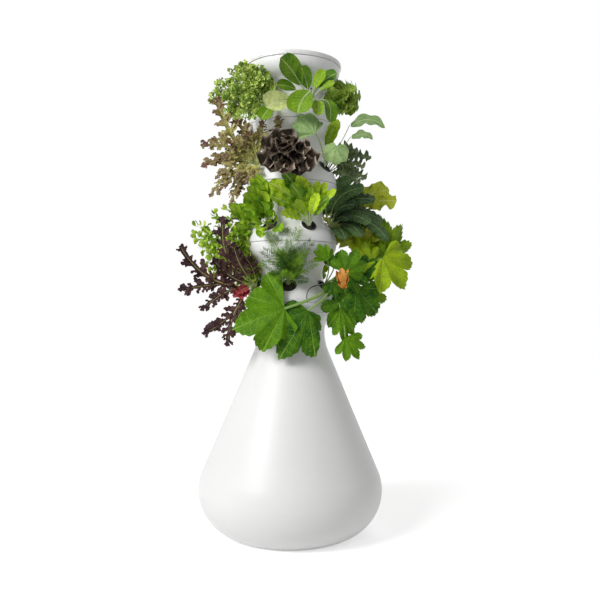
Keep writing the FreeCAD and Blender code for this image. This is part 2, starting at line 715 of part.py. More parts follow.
def set_out(label, source, level):
    """The six copies of a piece that one module holds, as separate solids of one node."""
    copies = []
    for index in range(int(value("port_count"))):
        copy = source.Shape.copy()
        copy.Placement = port_frame(level, index).multiply(source.Shape.Placement)
        copies.append(copy)
    group = doc.addObject("Part::Feature", label)
    group.Label = label
    group.Shape = Part.makeCompound(copies)
    return keep(label, group)


# Riser, shower disc and lid

def build_pipe(label, bottom, top):
    """A length of riser pipe with a bell at its lower end, which stands on the piece below."""
    body = new_body(label)
    sketch = new_sketch(body, "pipe_outline")
    bell = "pipe_radius + bell_clearance"
    length = "(%s) - (%s)" % (top, bottom)
    outline(sketch, [
        (bell, "-bell_depth"),
        (bell + " + pipe_wall", "-bell_depth"),
        (bell + " + pipe_wall", "pipe_wall"),
        ("pipe_radius", "2 * pipe_wall + bell_clearance"),
        ("pipe_radius", length),
        ("pipe_radius - pipe_wall", length),
        ("pipe_radius - pipe_wall", "0"),
        (bell, "0"),
    ])
    turned(body, "pipe", sketch)
    place(body, ("0", "0", bottom))
    return keep(label, body)


def build_shower_disc():
    """The disc under the lid that lets the water drip down inside the wall."""
    body = new_body("shower_disc")
    sketch = new_sketch(body, "disc_outline")
    hub = "pipe_radius + bell_clearance"
    outline(sketch, [
        (hub, "-disc_thickness"),
        (hub + " + pipe_wall", "-disc_thickness"),
        (hub + " + 2 * pipe_wall", "0"),
        ("disc_radius", "0"),
        ("disc_radius", "disc_thickness"),
        (hub, "disc_thickness"),
    ])
    turned(body, "disc", sketch)
    for ring in ("inner", "outer"):
        hole = new_sketch(body, ring + "_hole_outline", "XY_Plane")
        circle(hole, "disc_hole_radius", ("disc_%s_ring" % ring, "0"))
        drip = cut_through(body, ring + "_hole", hole)
        ring_of(body, ring + "_holes", [drip], "disc_%s_count" % ring)
    place(body, ("0", "0", "tower_height - lock_depth"))
    return keep("shower_disc", body)


def build_spray_cap():
    """The cap on the riser's end that turns the jet down onto the disc."""
    body = new_body("spray_cap")
    sketch = new_sketch(body, "cap_outline")
    fit = "pipe_radius + bell_clearance"
    outline(sketch, [
        ("0", "0"),
        ("pipe_radius", "0"),
        (fit, "0"),
        (fit, "-nozzle_stand + 1"),
        (fit + " + pipe_wall", "-nozzle_stand + 1"),
        (fit + " + pipe_wall", "-1"),
        ("spray_cap_radius", "0"),
        ("spray_cap_radius", "pipe_wall / 2"),
        ("0", "spray_cap_height"),
    ])
    turned(body, "cap", sketch)
    window = new_sketch(body, "window_outline", "YZ_Plane")
    box_outline(window, ("-pipe_radius / 3", "1 - nozzle_stand"), ("pipe_radius / 3", "0"))
    jet = cut_through(body, "window", window)
    ring_of(body, "windows", [jet], "3")
    place(body, ("0", "0", "tower_height - lock_depth + disc_thickness + nozzle_stand"))
    return keep("spray_cap", body)


def build_lid():
    """The lift-off lid: crowned top, rounded edge, banded rim and a skirt inside the top module."""
    body = new_body("lid")
    sketch = new_sketch(body, "lid_outline")
    skirt = "disc_radius - lock_clearance"
    rim = "top_radius + lid_overhang"
    crown_reach = "(%s - lid_round)" % rim
    outline(sketch, [
        ("0", "lid_height - lid_wall"),
        (skirt + " - lid_wall", "lid_height - lid_wall"),
        (skirt + " - lid_wall", "disc_thickness - lock_depth"),
        (skirt, "disc_thickness - lock_depth"),
        (skirt, "seam_gap / 2"),
        (rim + " - edge_round", "seam_gap / 2", "edge_round", "out"),
        (rim, "seam_gap / 2 + edge_round"),
        (rim, "lid_band"),
        (rim + " - lid_groove", "lid_band"),
        (rim + " - lid_groove", "lid_band + lid_groove"),
        (rim, "lid_band + lid_groove"),
        (rim, "lid_height - lid_round", "lid_round", "out"),
        (rim + " - lid_round", "lid_height",
         "(%s * %s + lid_crown * lid_crown) / (2 * lid_crown)" % (crown_reach, crown_reach), "out"),
        ("0", "lid_height + lid_crown"),
    ])
    turned(body, "lid_shell", sketch)
    place(body, ("0", "0", "tower_height"))
    return keep("lid", body)


# Fill hatch

def hatch_frame_at():
    """The hatch's own frame: X is level, Y points down the slope and Z out of the opening."""
    spot = Vector(0, value("hatch_crest"), value("hatch_height"))
    face = spot + Vector(0, math.cos(math.radians(value("cone_angle"))),
                         math.sin(math.radians(value("cone_angle")))) * value("hatch_stand")
    return Placement(face, Rotation(X_AXIS, -value("90 - cone_angle")))


def build_hatch():
    """The hatch cover with its knuckle and finger tab, its gasket and its hinge pin."""
    at_face = hatch_frame_at()
    gasket = new_body("hatch_gasket")
    ring = new_sketch(gasket, "gasket_outline")
    middle = "hatch_radius + hatch_wall / 2"
    box_outline(ring, (middle + " - gasket_width / 2", "0"),
                (middle + " + gasket_width / 2", "gasket_thickness"))
    turned(gasket, "gasket_ring", ring)
    gasket.Placement = at_face
    keep("hatch_gasket", gasket)

    cover = new_body("hatch_cover")
    sketch = new_sketch(cover, "cover_outline")
    inner = "hatch_frame_radius + cover_clearance"
    lift = "gasket_thickness"
    outline(sketch, [
        ("0", lift),
        (inner, lift),
        (inner, lift + " - cover_skirt"),
        ("cover_radius", lift + " - cover_skirt"),
        ("cover_radius", lift, "cover_wall", "out"),
        ("cover_radius - cover_wall", lift + " + cover_wall"),
        ("cover_radius - 4 * cover_wall", lift + " + cover_wall"),
        ("cover_radius - 5 * cover_wall", lift + " + cover_wall / 2"),
        ("0", lift + " + cover_wall / 2"),
    ])
    turned(cover, "cover_shell", sketch)
    arm = new_sketch(cover, "knuckle_outline", "YZ_Plane")
    outline(arm, [
        ("-hinge_reach - knuckle_radius", "-hinge_drop", "knuckle_radius", "out"),
        ("-hinge_reach", "-hinge_drop - knuckle_radius", "knuckle_radius", "out"),
        ("-hinge_reach + knuckle_radius", "-hinge_drop"),
        ("cover_wall / 2 - cover_radius", lift + " - cover_skirt / 2"),
        ("cover_wall / 2 - cover_radius", lift + " + cover_wall / 2"),
        ("-hinge_reach", "knuckle_radius - hinge_drop", "knuckle_radius", "out"),
    ])
    raised(cover, "knuckle", arm, "knuckle_width", both_ways=True)
    eye = new_sketch(cover, "knuckle_eye_outline", "YZ_Plane")
    circle(eye, "pin_radius + pin_clearance", ("-hinge_reach", "-hinge_drop"))
    cut_through(cover, "knuckle_eye", eye)
    grip = new_sketch(cover, "tab_outline", "XY_Plane", ("0", "0", lift))
    outline(grip, [
        ("-tab_width / 2", "cover_radius - 2 * cover_wall"),
        ("tab_width / 2", "cover_radius - 2 * cover_wall"),
        ("tab_width / 2", "cover_radius", "tab_length", "out"),
        ("tab_width / 2 - tab_length", "cover_radius + tab_length"),
        ("tab_length - tab_width / 2", "cover_radius + tab_length", "tab_length", "out"),
        ("-tab_width / 2", "cover_radius"),
    ])
    raised(cover, "tab", grip, "cover_wall")
    cover.Placement = at_face
    keep("hatch_cover", cover)

    pin = doc.addObject("Part::Cylinder", "hatch_hinge_pin")
    pin.Label = "hatch_hinge_pin"
    pin.setExpression("Radius", full("pin_radius"))
    pin.setExpression("Height", full("knuckle_width + 2 * ear_gap + 2 * ear_width"))
    middle_of_pin = Vector(0, -value("hinge_reach"), -value("hinge_drop"))
    lying = Placement(Vector(-value("knuckle_width / 2 + ear_gap + ear_width"), 0, 0), Rotation(Y_AXIS, 90))
    pin.Placement = at_face * Placement(middle_of_pin, Rotation()) * lying
    keep("hatch_hinge_pin", pin)


def build_grommet():
    """The rubber grommet in the tank's cable hole, with a flange on each side of the wall."""
    body = new_body("cable_grommet")
    sketch = new_sketch(body, "grommet_outline", "YZ_Plane")
    flange = "grommet_radius + grommet_flange"
    outline(sketch, [
        ("grommet_near - grommet_lip", "grommet_bore"),
        ("grommet_far + grommet_lip", "grommet_bore"),
        ("grommet_far + grommet_lip", flange),
        ("grommet_far", flange),
        ("grommet_far", "grommet_radius - lock_clearance"),
        ("grommet_near", "grommet_radius - lock_clearance"),
        ("grommet_near", flange),
        ("grommet_near - grommet_lip", flange),
    ])
    turned(body, "grommet", sketch, axis="H_Axis")
    place(body, ("0", "0", "grommet_height"))
    return keep("cable_grommet", body)


# Pump

def build_pump():
    """The submersible pump: motor can, volute cover, strainer, rotor, shaft and suction feet."""
    half = "volute_length / 2"
    inside = "volute_radius - volute_wall"
    well = "magnet_radius + rotor_clearance"
    back_wall = "volute_wall - volute_length / 2"

    housing = new_body("pump_housing")
    can = new_sketch(housing, "can_outline")
    outline(can, [
        ("-volute_length / 2 - motor_length", "0"),
        ("-volute_length / 2 - motor_length", "motor_radius - 4"),
        ("4 - volute_length / 2 - motor_length", "motor_radius"),
        ("-volute_length / 2", "motor_radius"),
        ("-volute_length / 2", "volute_radius"),
        (half, "volute_radius"),
        (half, inside),
        (back_wall, inside),
        (back_wall, well),
        (back_wall + " - magnet_length - 2 * rotor_clearance", well),
        (back_wall + " - magnet_length - 2 * rotor_clearance", "shaft_radius"),
        (back_wall + " - magnet_length - 8", "shaft_radius"),
        (back_wall + " - magnet_length - 8", "0"),
    ][::-1])
    turned(housing, "can", can, axis="H_Axis")
    foot_plate = new_sketch(housing, "plate_outline", "XY_Plane", ("0", "0", "-volute_radius - pump_plate"))
    box_outline(foot_plate, ("-volute_length / 2 - motor_length", "-volute_radius"), (half, "volute_radius"))
    raised(housing, "plate", foot_plate, "pump_plate + volute_radius / 4")
    clear_plate = new_sketch(housing, "plate_clearing_outline")
    box_outline(clear_plate, (back_wall, "0"), ("volute_length", inside))
    turned(housing, "plate_clearing", clear_plate, "Groove", axis="H_Axis")
    clear_well = new_sketch(housing, "well_clearing_outline")
    box_outline(clear_well, (back_wall + " - magnet_length - 2 * rotor_clearance", "0"), (half, well))
    turned(housing, "well_clearing", clear_well, "Groove", axis="H_Axis")
    stub = new_sketch(housing, "outlet_outline", "XY_Plane", ("0", "0", inside))
    circle(stub, "pipe_radius")
    raised(housing, "outlet", stub, "volute_wall + outlet_stand")
    throat = new_sketch(housing, "throat_outline", "XY_Plane", ("0", "0", "volute_radius"))
    circle(throat, "pipe_radius - pipe_wall")
    cut_through(housing, "throat", throat, "2 * outlet_stand + 2 * volute_wall + 8")
    for side in (-1, 1):
        for end in ("-volute_length / 2 - motor_length + 12", "0"):
            hole = new_sketch(housing, "foot_hole_outline", "XY_Plane",
                              ("0", "0", "-volute_radius - pump_plate"))
            circle(hole, "pump_foot_neck", (end, "%d * (volute_radius - pump_foot_radius)" % side))
            cut_through(housing, "foot_hole", hole, "2 * pump_plate")
    place(housing, ("0", "0", "volute_height"))
    keep("pump_housing", housing)

    front = new_body("pump_volute_cover")
    plate = new_sketch(front, "front_outline")
    outline(plate, [
        (half, "intake_radius"),
        (half + " + cover_plate", "intake_radius"),
        (half + " + cover_plate", "volute_radius"),
        (half, "volute_radius"),
    ])
    turned(front, "front", plate, axis="H_Axis")
    bridge = new_sketch(front, "bridge_outline", "YZ_Plane", ("0", "0", half))
    box_outline(bridge, ("-blade_thickness", "-intake_radius - 1"), ("blade_thickness", "intake_radius + 1"))
    raised(front, "bridge", bridge, "cover_plate")
    seat = new_sketch(front, "shaft_seat_outline", "YZ_Plane")
    circle(seat, "shaft_radius")
    cut_through(front, "shaft_seat", seat, "volute_length + 3 * cover_plate")
    place(front, ("0", "0", "volute_height"))
    keep("pump_volute_cover", front)

    strainer = new_body("pump_strainer")
    cage = new_sketch(strainer, "cage_outline")
    start = half + " + cover_plate"
    stop = start + " + strainer_length"
    outline(cage, [
        (start, "volute_radius - strainer_wall"),
        (stop + " - strainer_wall", "volute_radius - strainer_wall"),
        (stop + " - strainer_wall", "0"),
        (stop, "0"),
        (stop, "volute_radius - 3"),
        (stop + " - 3", "volute_radius"),
        (start, "volute_radius"),
    ])
    turned(strainer, "cage", cage, axis="H_Axis")
    opening = new_sketch(strainer, "intake_slot_outline", "XY_Plane")
    box_outline(opening, (start + " + 4", "-blade_thickness"), (stop + " - 6", "blade_thickness"))
    slit = cut_through(strainer, "intake_slot", opening)
    ring_of(strainer, "intake_slots", [slit], "strainer_slots / 2", role="X_Axis")
    place(strainer, ("0", "0", "volute_height"))
    keep("pump_strainer", strainer)

    rotor = new_body("pump_rotor")
    magnet = new_sketch(rotor, "magnet_outline")
    disc_at = back_wall + " + rotor_clearance"
    outline(magnet, [
        (back_wall + " - magnet_length", "shaft_radius + shaft_clearance"),
        (disc_at + " + impeller_disc + blade_height", "shaft_radius + shaft_clearance"),
        (disc_at + " + impeller_disc + blade_height", "shaft_radius + 3"),
        (disc_at + " + impeller_disc", "shaft_radius + 3"),
        (disc_at + " + impeller_disc", "impeller_radius"),
        (disc_at, "impeller_radius"),
        (disc_at, "magnet_radius"),
        (back_wall + " - magnet_length", "magnet_radius"),
    ])
    turned(rotor, "magnet", magnet, axis="H_Axis")
    blade_outline = new_sketch(rotor, "blade_outline")
    box_outline(blade_outline, (disc_at + " + impeller_disc / 2", "shaft_radius + 2"),
                (disc_at + " + impeller_disc + blade_height", "impeller_radius - 1"))
    blade = raised(rotor, "blade", blade_outline, "blade_thickness", both_ways=True)
    ring_of(rotor, "blades", [blade], "blade_count", role="X_Axis")
    place(rotor, ("0", "0", "volute_height"))
    keep("pump_rotor", rotor)

    shaft = doc.addObject("Part::Cylinder", "pump_shaft")
    shaft.Label = "pump_shaft"
    shaft.setExpression("Radius", full("shaft_radius"))
    shaft.setExpression("Height", full("volute_length - volute_wall + magnet_length + 8 + cover_plate"))
    shaft.Placement = Placement(Vector(value(back_wall + " - magnet_length - 8"), 0, value("volute_height")),
                                Rotation(Y_AXIS, 90))
    keep("pump_shaft", shaft)

    foot = new_body("one_suction_foot")
    cup = new_sketch(foot, "foot_outline")
    outline(cup, [
        ("0", "1"),
        ("pump_foot_radius - 2", "0"),
        ("pump_foot_radius", "0"),
        ("pump_foot_neck + 1", "pump_foot_height"),
        ("pump_foot_neck - lock_clearance", "pump_foot_height"),
        ("pump_foot_neck - lock_clearance", "pump_foot_height + pump_plate"),
        ("0", "pump_foot_height + pump_plate"),
    ])
    turned(foot, "foot", cup)
    doc.recompute()
    feet = []
    for side in (-1, 1):
        for end in ("-volute_length / 2 - motor_length + 12", "0"):
            copy = foot.Shape.copy()
            across = side * value("volute_radius - pump_foot_radius")
            copy.Placement = Placement(Vector(value(end), across, value("tank_wall")), Rotation())
            feet.append(copy)
    group = doc.addObject("Part::Feature", "pump_suction_feet")
    group.Label = "pump_suction_feet"
    group.Shape = Part.makeCompound(feet)
    keep("pump_suction_feet", group)


# Plants

def skin_solid(rings, tip=None):
    """A closed body over rings of four points each. It ends in a point, or flat where tip is left out."""
    points = [point for ring in rings for point in ring]
    facets = [(0, 1, 2), (0, 2, 3)]
    for station in range(len(rings) - 1):
        for edge in range(4):
            a = 4 * station + edge
            b = 4 * station + (edge + 1) % 4
            facets += [(a, a + 4, b), (b, a + 4, b + 4)]
    last = len(points) - 4
    if tip:
        facets += [(last + edge, len(points), last + (edge + 1) % 4) for edge in range(4)]
        points.append(tip)
    else:
        facets += [(last, last + 2, last + 1), (last, last + 3, last + 2)]
    skin = Part.Shape()
    skin.makeShapeFromMesh((points, facets), 0.001)
    solid = Part.makeSolid(skin)
    if solid.Volume < 0:
        solid.reverse()
    return solid


def leaf_rings(base, heading, rise, droop, length, width, stalk):
    """Rings and tip of a leaf: a stalk, a cupped blade that is widest near its middle, and a point.

    It leaves base at the angle rise and bends down by droop over its length, in degrees.
    """
    along = Vector(math.cos(math.radians(heading)), math.sin(math.radians(heading)), 0)
    side = Vector(-along.y, along.x, 0)
    bend = math.radians(droop)
    start = math.radians(rise)
    stalk_half = 1.8
    # Each station is: share of the length, half of the width, thickness.
    stations = [
        (0.0, stalk_half, 4.0),
        (stalk, stalk_half, 4.0),
        (stalk + (1 - stalk) * 0.35, width / 2, 3.0),
        (stalk + (1 - stalk) * 0.75, width / 2.6, 2.4),
        (1.0, 0.0, 0.0),
    ]
    rings = []
    for share, half_width, thickness in stations:
        angle = start - bend * share
        out = length * (math.sin(start) - math.sin(angle)) / bend
        up = length * (math.cos(angle) - math.cos(start)) / bend
        middle = base + along * out + Z_AXIS * up
        normal = Z_AXIS * math.cos(angle) - along * math.sin(angle)
        cupped = normal * max(half_width - stalk_half, 0) * 0.3
        rings.append([
            middle + side * half_width + cupped,
            middle + normal * thickness / 2,
            middle - side * half_width + cupped,
            middle - normal * thickness / 2,
        ])
    return rings[:-1], rings[-1][0]


def turn_from(point, direction):
    """How far a point lies to the left of a direction seen from the tower's axis, in degrees."""
    return (math.degrees(math.atan2(point.y, point.x)) - direction + 180) % 360 - 180


def fitted_leaf(base, outward, heading, *shape):
    """A leaf that is turned back towards outward until it keeps to its own port's sector."""
    for attempt in range(12):
        rings, tip = leaf_rings(base, heading, *shape)
        reach = max(abs(turn_from(point, outward)) for ring in rings for point in ring)
        excess = max(reach, abs(turn_from(tip, outward))) - value("leaf_sector")
        if excess <= 0:
            break
        heading -= math.copysign(excess + 1, heading - outward)
    return skin_solid(rings, tip)


# A habit is: leaves, length, width, rise, droop, spread of the headings, stalk's share of the length.
HABITS = {
    "spoon": (7, 146, 50, 66, 66, 46, 0.45),
    "frilly": (8, 150, 44, 60, 88, 54, 0.30),
    "parsley": (8, 198, 46, 66, 92, 50, 0.40),
    "rosette": (9, 108, 52, 58, 82, 60, 0.15),
    "romaine": (8, 140, 42, 68, 62, 46, 0.20),
    "feathery": (8, 190, 32, 56, 112, 50, 0.35),
    "strap": (7, 170, 34, 60, 112, 50, 0.25),
    "round": (7, 155, 44, 58, 76, 54, 0.55),
    "basil": (7, 96, 44, 54, 70, 56, 0.35),
    "lobed": (7, 160, 44, 54, 84, 52, 0.30),
    "thread": (8, 110, 18, 72, 56, 56, 0.30),
    "squash": (7, 318, 96, 46, 92, 46, 0.55),
    "mustard": (8, 270, 60, 46, 94, 50, 0.35),
    "purple": (8, 300, 38, 46, 98, 42, 0.40),
    "tangle": (8, 230, 30, 50, 94, 50, 0.45),
}

# A plant is: name, level, port counted to the right from the front one, habit.
PLANTS = [
    ("bok_choy", 1, 0, "spoon"),
    ("curly_kale_1", 1, 1, "frilly"),
    ("curly_kale_2", 1, 2, "frilly"),
    ("curly_kale_3", 1, 3, "frilly"),
    ("curly_parsley_1", 1, 4, "parsley"),
    ("curly_parsley_2", 1, 5, "parsley"),
    ("purple_lettuce", 2, 0, "rosette"),
    ("collard", 2, 1, "round"),
    ("purple_kale_1", 2, 2, "frilly"),
    ("purple_kale_2", 2, 3, "frilly"),
    ("red_mizuna_1", 2, 4, "feathery"),
    ("red_mizuna_2", 2, 5, "feathery"),
    ("romaine", 3, 0, "romaine"),
    ("lacinato_kale_1", 3, 1, "strap"),
    ("oak_leaf_lettuce", 3, 2, "lobed"),
    ("lacinato_kale_2", 3, 3, "strap"),
    ("basil_1", 3, 4, "basil"),
    ("basil_2", 3, 5, "basil"),
    ("dill", 4, 0, "thread"),
    ("squash", 4, 1, "squash"),
    ("mustard_greens_1", 4, 2, "mustard"),
    ("mustard_greens_2", 4, 3, "mustard"),
    ("mixed_herbs", 4, 4, "tangle"),
    ("purple_mizuna", 4, 5, "purple"),
]
grown = {}


def trailing_shoot():
    """The squash's shoot, which runs back round the front of the collar and ends in two hanging leaves."""
    level_line = value("tower_base_height")
    turn = value("front_azimuth")
    rings = []
    path = []
    # Each place is: turn back from the plant's own port, distance from the axis, height above the
    # module's seam.
    for angle, reach, height in ((0, 129, 58), (12, 172, 44), (36, 188, 20), (58, 190, 2), (74, 186, -4)):
        spot = Rotation(Z_AXIS, turn - angle).multVec(Vector(reach, 0, level_line + height))
        out = Vector(spot.x, spot.y, 0).normalize()
        path.append(spot)
        rings.append([spot + out * 3, spot + Z_AXIS * 3, spot - out * 3, spot - Z_AXIS * 3])
    stem = skin_solid(rings)
    left = skin_solid(*leaf_rings(path[4] + (path[3] - path[4]) * 0.2, turn - 80, -8, 76, 175, 124, 0.15))
    right = skin_solid(*leaf_rings(path[3], turn - 42, -16, 66, 170, 116, 0.15))
    return [stem, left, right]


def grow(habit):
    """The shape of one kind of plant: a crown and a fan of leaves, at the lowest module's front port."""
    count, length, width, rise, droop, spread, stalk = HABITS[habit]
    frame = port_frame(4, 0)
    crown_bottom = -value("plug_top")
    crown_top = crown_bottom + value("crown_length")
    crown = Part.makeCylinder(value("crown_radius"), value("crown_length"),
                              Vector(0, 0, crown_bottom), Z_AXIS)
    crown.Placement = frame.multiply(crown.Placement)
    heart = frame.multVec(Vector(0, 0, crown_top - value("crown_radius") / 2))
    outward = math.degrees(math.atan2(heart.y, heart.x))
    pieces = []
    for number in range(count):
        share = number / (count - 1) * 2 - 1
        inner = number % 2
        heading = outward + spread * share
        aside = Rotation(Z_AXIS, outward + 90 * share).multVec(Vector(value("crown_radius") * 0.45, 0, 0))
        root = heart + aside
        pieces.append(fitted_leaf(root, outward, heading, rise + 12 * inner - 12 * share * share,
                                  droop - 12 * inner, length * (1 - 0.2 * inner), width, stalk))
    if habit == "squash":
        pieces += trailing_shoot()
    return crown.multiFuse(pieces).Solids[0]


def build_plant(label, level, port, habit):
    """One plant on its grow plug, as one soft solid."""
    if habit not in grown:
        grown[habit] = grow(habit)
    plant = doc.addObject("Part::Feature", label)
    plant.Label = label
    plant.Shape = grown[habit]
    plant.Placement = port_frame(level, port) * port_frame(4, 0).inverse()
    return keep(label, plant)


# The whole tower

build_tank()
build_collar()
module_4 = build_module("module_4", 4, "seam")
copy_module("module_3", module_4, 3)
copy_module("module_2", module_4, 2)
build_module("module_1", 1, "top")
build_grommet()
build_hatch()
build_pump()
build_pipe("riser_pipe_0", "outlet_top", "tower_base_height + bell_rise")
for level in (4, 3, 2):
    foot_of_pipe = "tower_base_height + %d * module_pitch + bell_rise" % (4 - level)
    build_pipe("riser_pipe_%d" % (5 - level), foot_of_pipe, foot_of_pipe + " + module_pitch")
build_pipe("riser_pipe_4", "tower_base_height + 3 * module_pitch + bell_rise",
           "tower_height - lock_depth + disc_thickness + nozzle_stand")
build_shower_disc()
build_spray_cap()
build_lid()
one_cup = build_cup()
one_plug = build_plug()
doc.recompute()
for level in (4, 3, 2, 1):
    set_out("net_cups_%d" % level, one_cup, level)
    set_out("grow_plugs_%d" % level, one_plug, level)
for label, level, port, habit in PLANTS:
    build_plant(label, level, port, habit)

# Checks before anything is written

doc.recompute()
for item in doc.Objects:
    if "Invalid" in item.State or "Error" in item.State:
        raise RuntimeError("%s did not rebuild: %s" % (item.Label, item.State))
for label, item in nodes.items():
    if item.Shape.isNull() or not item.Shape.isValid() or not item.Shape.Solids:
        raise RuntimeError("%s has no valid solid" % label)

os.makedirs("parts", exist_ok=True)
for label, item in nodes.items():
    item.Shape.exportStep(os.path.join("parts", label + ".step"))
print("wrote %d sub-parts" % len(nodes))
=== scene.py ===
# %% [markdown]
# # Dressing a planter tower
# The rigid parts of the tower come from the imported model: the tank, the four stacked planting rings,
# the lid, the cups, the pump. They are already the right shape, so this script gives them finishes.
# The plants are what a solid modeller draws badly. Here each one is grown again, leaf by leaf, on the
# same crown and in the same space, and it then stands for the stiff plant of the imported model.

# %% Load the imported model
import json
import math

import bpy
import numpy as np
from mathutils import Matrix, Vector


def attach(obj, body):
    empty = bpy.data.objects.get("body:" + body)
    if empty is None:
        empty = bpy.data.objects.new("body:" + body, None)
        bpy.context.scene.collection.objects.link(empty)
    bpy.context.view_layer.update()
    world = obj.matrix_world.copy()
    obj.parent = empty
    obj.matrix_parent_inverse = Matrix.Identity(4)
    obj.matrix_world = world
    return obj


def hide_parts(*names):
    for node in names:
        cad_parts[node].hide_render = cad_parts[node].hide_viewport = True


scene = bpy.context.scene
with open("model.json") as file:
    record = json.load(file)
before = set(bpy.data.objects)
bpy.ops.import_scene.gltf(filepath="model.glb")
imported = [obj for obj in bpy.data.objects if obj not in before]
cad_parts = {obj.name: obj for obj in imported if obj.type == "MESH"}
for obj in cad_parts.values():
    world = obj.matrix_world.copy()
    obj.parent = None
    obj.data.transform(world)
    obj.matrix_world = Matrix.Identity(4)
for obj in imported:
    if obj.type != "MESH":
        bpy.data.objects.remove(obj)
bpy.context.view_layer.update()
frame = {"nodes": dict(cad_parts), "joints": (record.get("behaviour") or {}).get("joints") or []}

# %% [markdown]
# ## Writing a finish as sums
# Blender builds a finish from boxes and wires. A dozen boxes for one sum are hard to read, so a small
# class wraps the end of a wire. With its operators, `1 - mask * 0.5` adds the two Math boxes by itself.
# Colours never go through those, because a Math box turns a colour grey: they have `blend`.

# %% A wire with sums, and the nodes and finishes that it belongs to
class Wire:
    """The output of one shader node, with arithmetic."""

    def __init__(self, nodes, socket):
        self.nodes = nodes
        self.socket = socket

    def other(self, output):
        """Another output of the same node."""
        return Wire(self.nodes, self.socket.node.outputs[output])

    def sum(self, operation, *others):
        return self.nodes.node("Math", {"operation": operation}, dict(enumerate((self, *others))))

    def __add__(self, other):
        return self.sum("ADD", other)

    __radd__ = __add__

    def __mul__(self, other):
        return self.sum("MULTIPLY", other)

    __rmul__ = __mul__

    def __sub__(self, other):
        return self.sum("SUBTRACT", other)

    def __rsub__(self, other):
        return self.nodes.node("Math", {"operation": "SUBTRACT"}, {0: other, 1: self})

    def fraction(self):
        return self.sum("FRACT")

    def size(self):
        """The value without its sign."""
        return self.sum("ABSOLUTE")

    def rise(self, low, high):
        """0 below low, 1 above high, and a smooth ramp between them. High may be the smaller."""
        ends = {"Value": self, "From Min": low, "From Max": high}
        return self.nodes.node("MapRange", {"interpolation_type": "SMOOTHSTEP"}, ends)


class Nodes:
    """Adds shader nodes to a material or a world."""

    def __init__(self, owner):
        owner.use_nodes = True
        self.tree = owner.node_tree

    def node(self, kind, settings=None, values=None, output=0):
        made = self.tree.nodes.new("ShaderNode" + kind)
        for name, value in (settings or {}).items():
            setattr(made, name, value)
        for name, value in (values or {}).items():
            self.feed(made.inputs[name], value)
        return Wire(self, made.outputs[output])

    def feed(self, socket, value):
        if isinstance(value, Wire):
            self.tree.links.new(value.socket, socket)
        elif isinstance(value, tuple) and len(value) == 3 and socket.type == "RGBA":
            socket.default_value = (*value, 1)
        else:
            socket.default_value = value


class Finish(Nodes):
    """One material: it adds nodes, and closes them with a Principled shader."""

    def __init__(self, name):
        self.material = bpy.data.materials.new(name)
        super().__init__(self.material)
        self.tree.nodes.clear()

    def blend(self, first, second, share):
        """A colour between two colours: share 0 gives the first, 1 the second."""
        return self.node("Mix", {"data_type": "RGBA"}, {0: share, 6: first, 7: second}, 2)

    def place(self):
        """Where a point is on the object, in metres."""
        return self.node("TexCoord", output=3)

    def map(self):
        """Across and along of the map that every leaf carries, each from 0 to 1."""
        chart = self.node("UVMap", {"uv_map": "blade"})
        across = self.node("SeparateXYZ", values={0: chart})
        return across, across.other(1)

    def clouds(self, scale, detail=3.0, at=None):
        """Soft random blotches, from 0 to 1. Scale is how many there are to a metre."""
        values = {"Vector": at or self.place(), "Scale": scale, "Detail": detail, "Roughness": 0.55}
        return self.node("TexNoise", values=values)

    def cells(self, scale):
        """Distance to the nearest of many scattered points."""
        return self.node("TexVoronoi", {"feature": "F1"}, {"Vector": self.place(), "Scale": scale})

    def bump(self, height, depth, strength):
        """Small relief. Depth is what a height of 1 stands for, in metres."""
        return self.node("Bump", values={"Height": height, "Distance": depth, "Strength": strength})

    def close(self, **sockets):
        """The shader at the end. An underscore in a socket's name stands for a space."""
        shader = self.tree.nodes.new("ShaderNodeBsdfPrincipled")
        for name, value in sockets.items():
            self.feed(shader.inputs[name.replace("_", " ")], value)
        out = self.tree.nodes.new("ShaderNodeOutputMaterial")
        self.tree.links.new(shader.outputs[0], out.inputs["Surface"])
        return self.material


# %% [markdown]
# ## The white shell
# Tank, rings and lid are moulded polyethylene with a satin skin. A moulded skin is never optically
# flat: it has a faint orange peel a few millimetres across, and a fine grain from the mould. Both are
# a bump of less than a tenth of a millimetre, so they only loosen the highlight. The gloss and the
# white wander a little from place to place.

# %% White moulded shell
def white_shell():
    finish = Finish("white_shell")
    grain = finish.clouds(900.0, 2.0)
    peel = finish.clouds(140.0, 2.0)
    wear = finish.clouds(7.0, 4.0)
    colour = finish.blend((0.86, 0.86, 0.852), (0.90, 0.90, 0.895), wear)
    skin = finish.bump(peel + grain * 0.35, 0.00009, 0.7)
    gloss = 0.36 + wear * 0.14
    return finish.close(Base_Color=colour, Roughness=gloss, Normal=skin, IOR=1.5)


# %% [markdown]
# ## The small plastics, foam, rubber and steel
# The cups are black polypropylene, the pump a dark filled plastic, the riser a pale pipe. One recipe
# serves them with other numbers: a colour that drifts slightly, a grain, and a wandering gloss.
# The foam plug is open cells, so its height comes from a cell pattern; its colour darkens in the pits
# of that pattern, which is painted shade. Pins are brushed steel, and brushing is noise stretched along
# one direction.

# %% Other CAD finishes
def moulded(name, colour, gloss, grain=500.0, depth=0.00006):
    finish = Finish(name)
    drift = finish.clouds(30.0)
    fine = finish.clouds(grain, 2.0)
    pale = tuple(min(1.0, channel * 1.25 + 0.004) for channel in colour)
    shade = finish.blend(colour, pale, drift)
    skin = finish.bump(fine + drift * 0.5, depth, 0.8)
    return finish.close(Base_Color=shade, Roughness=gloss + fine * 0.12, Normal=skin)


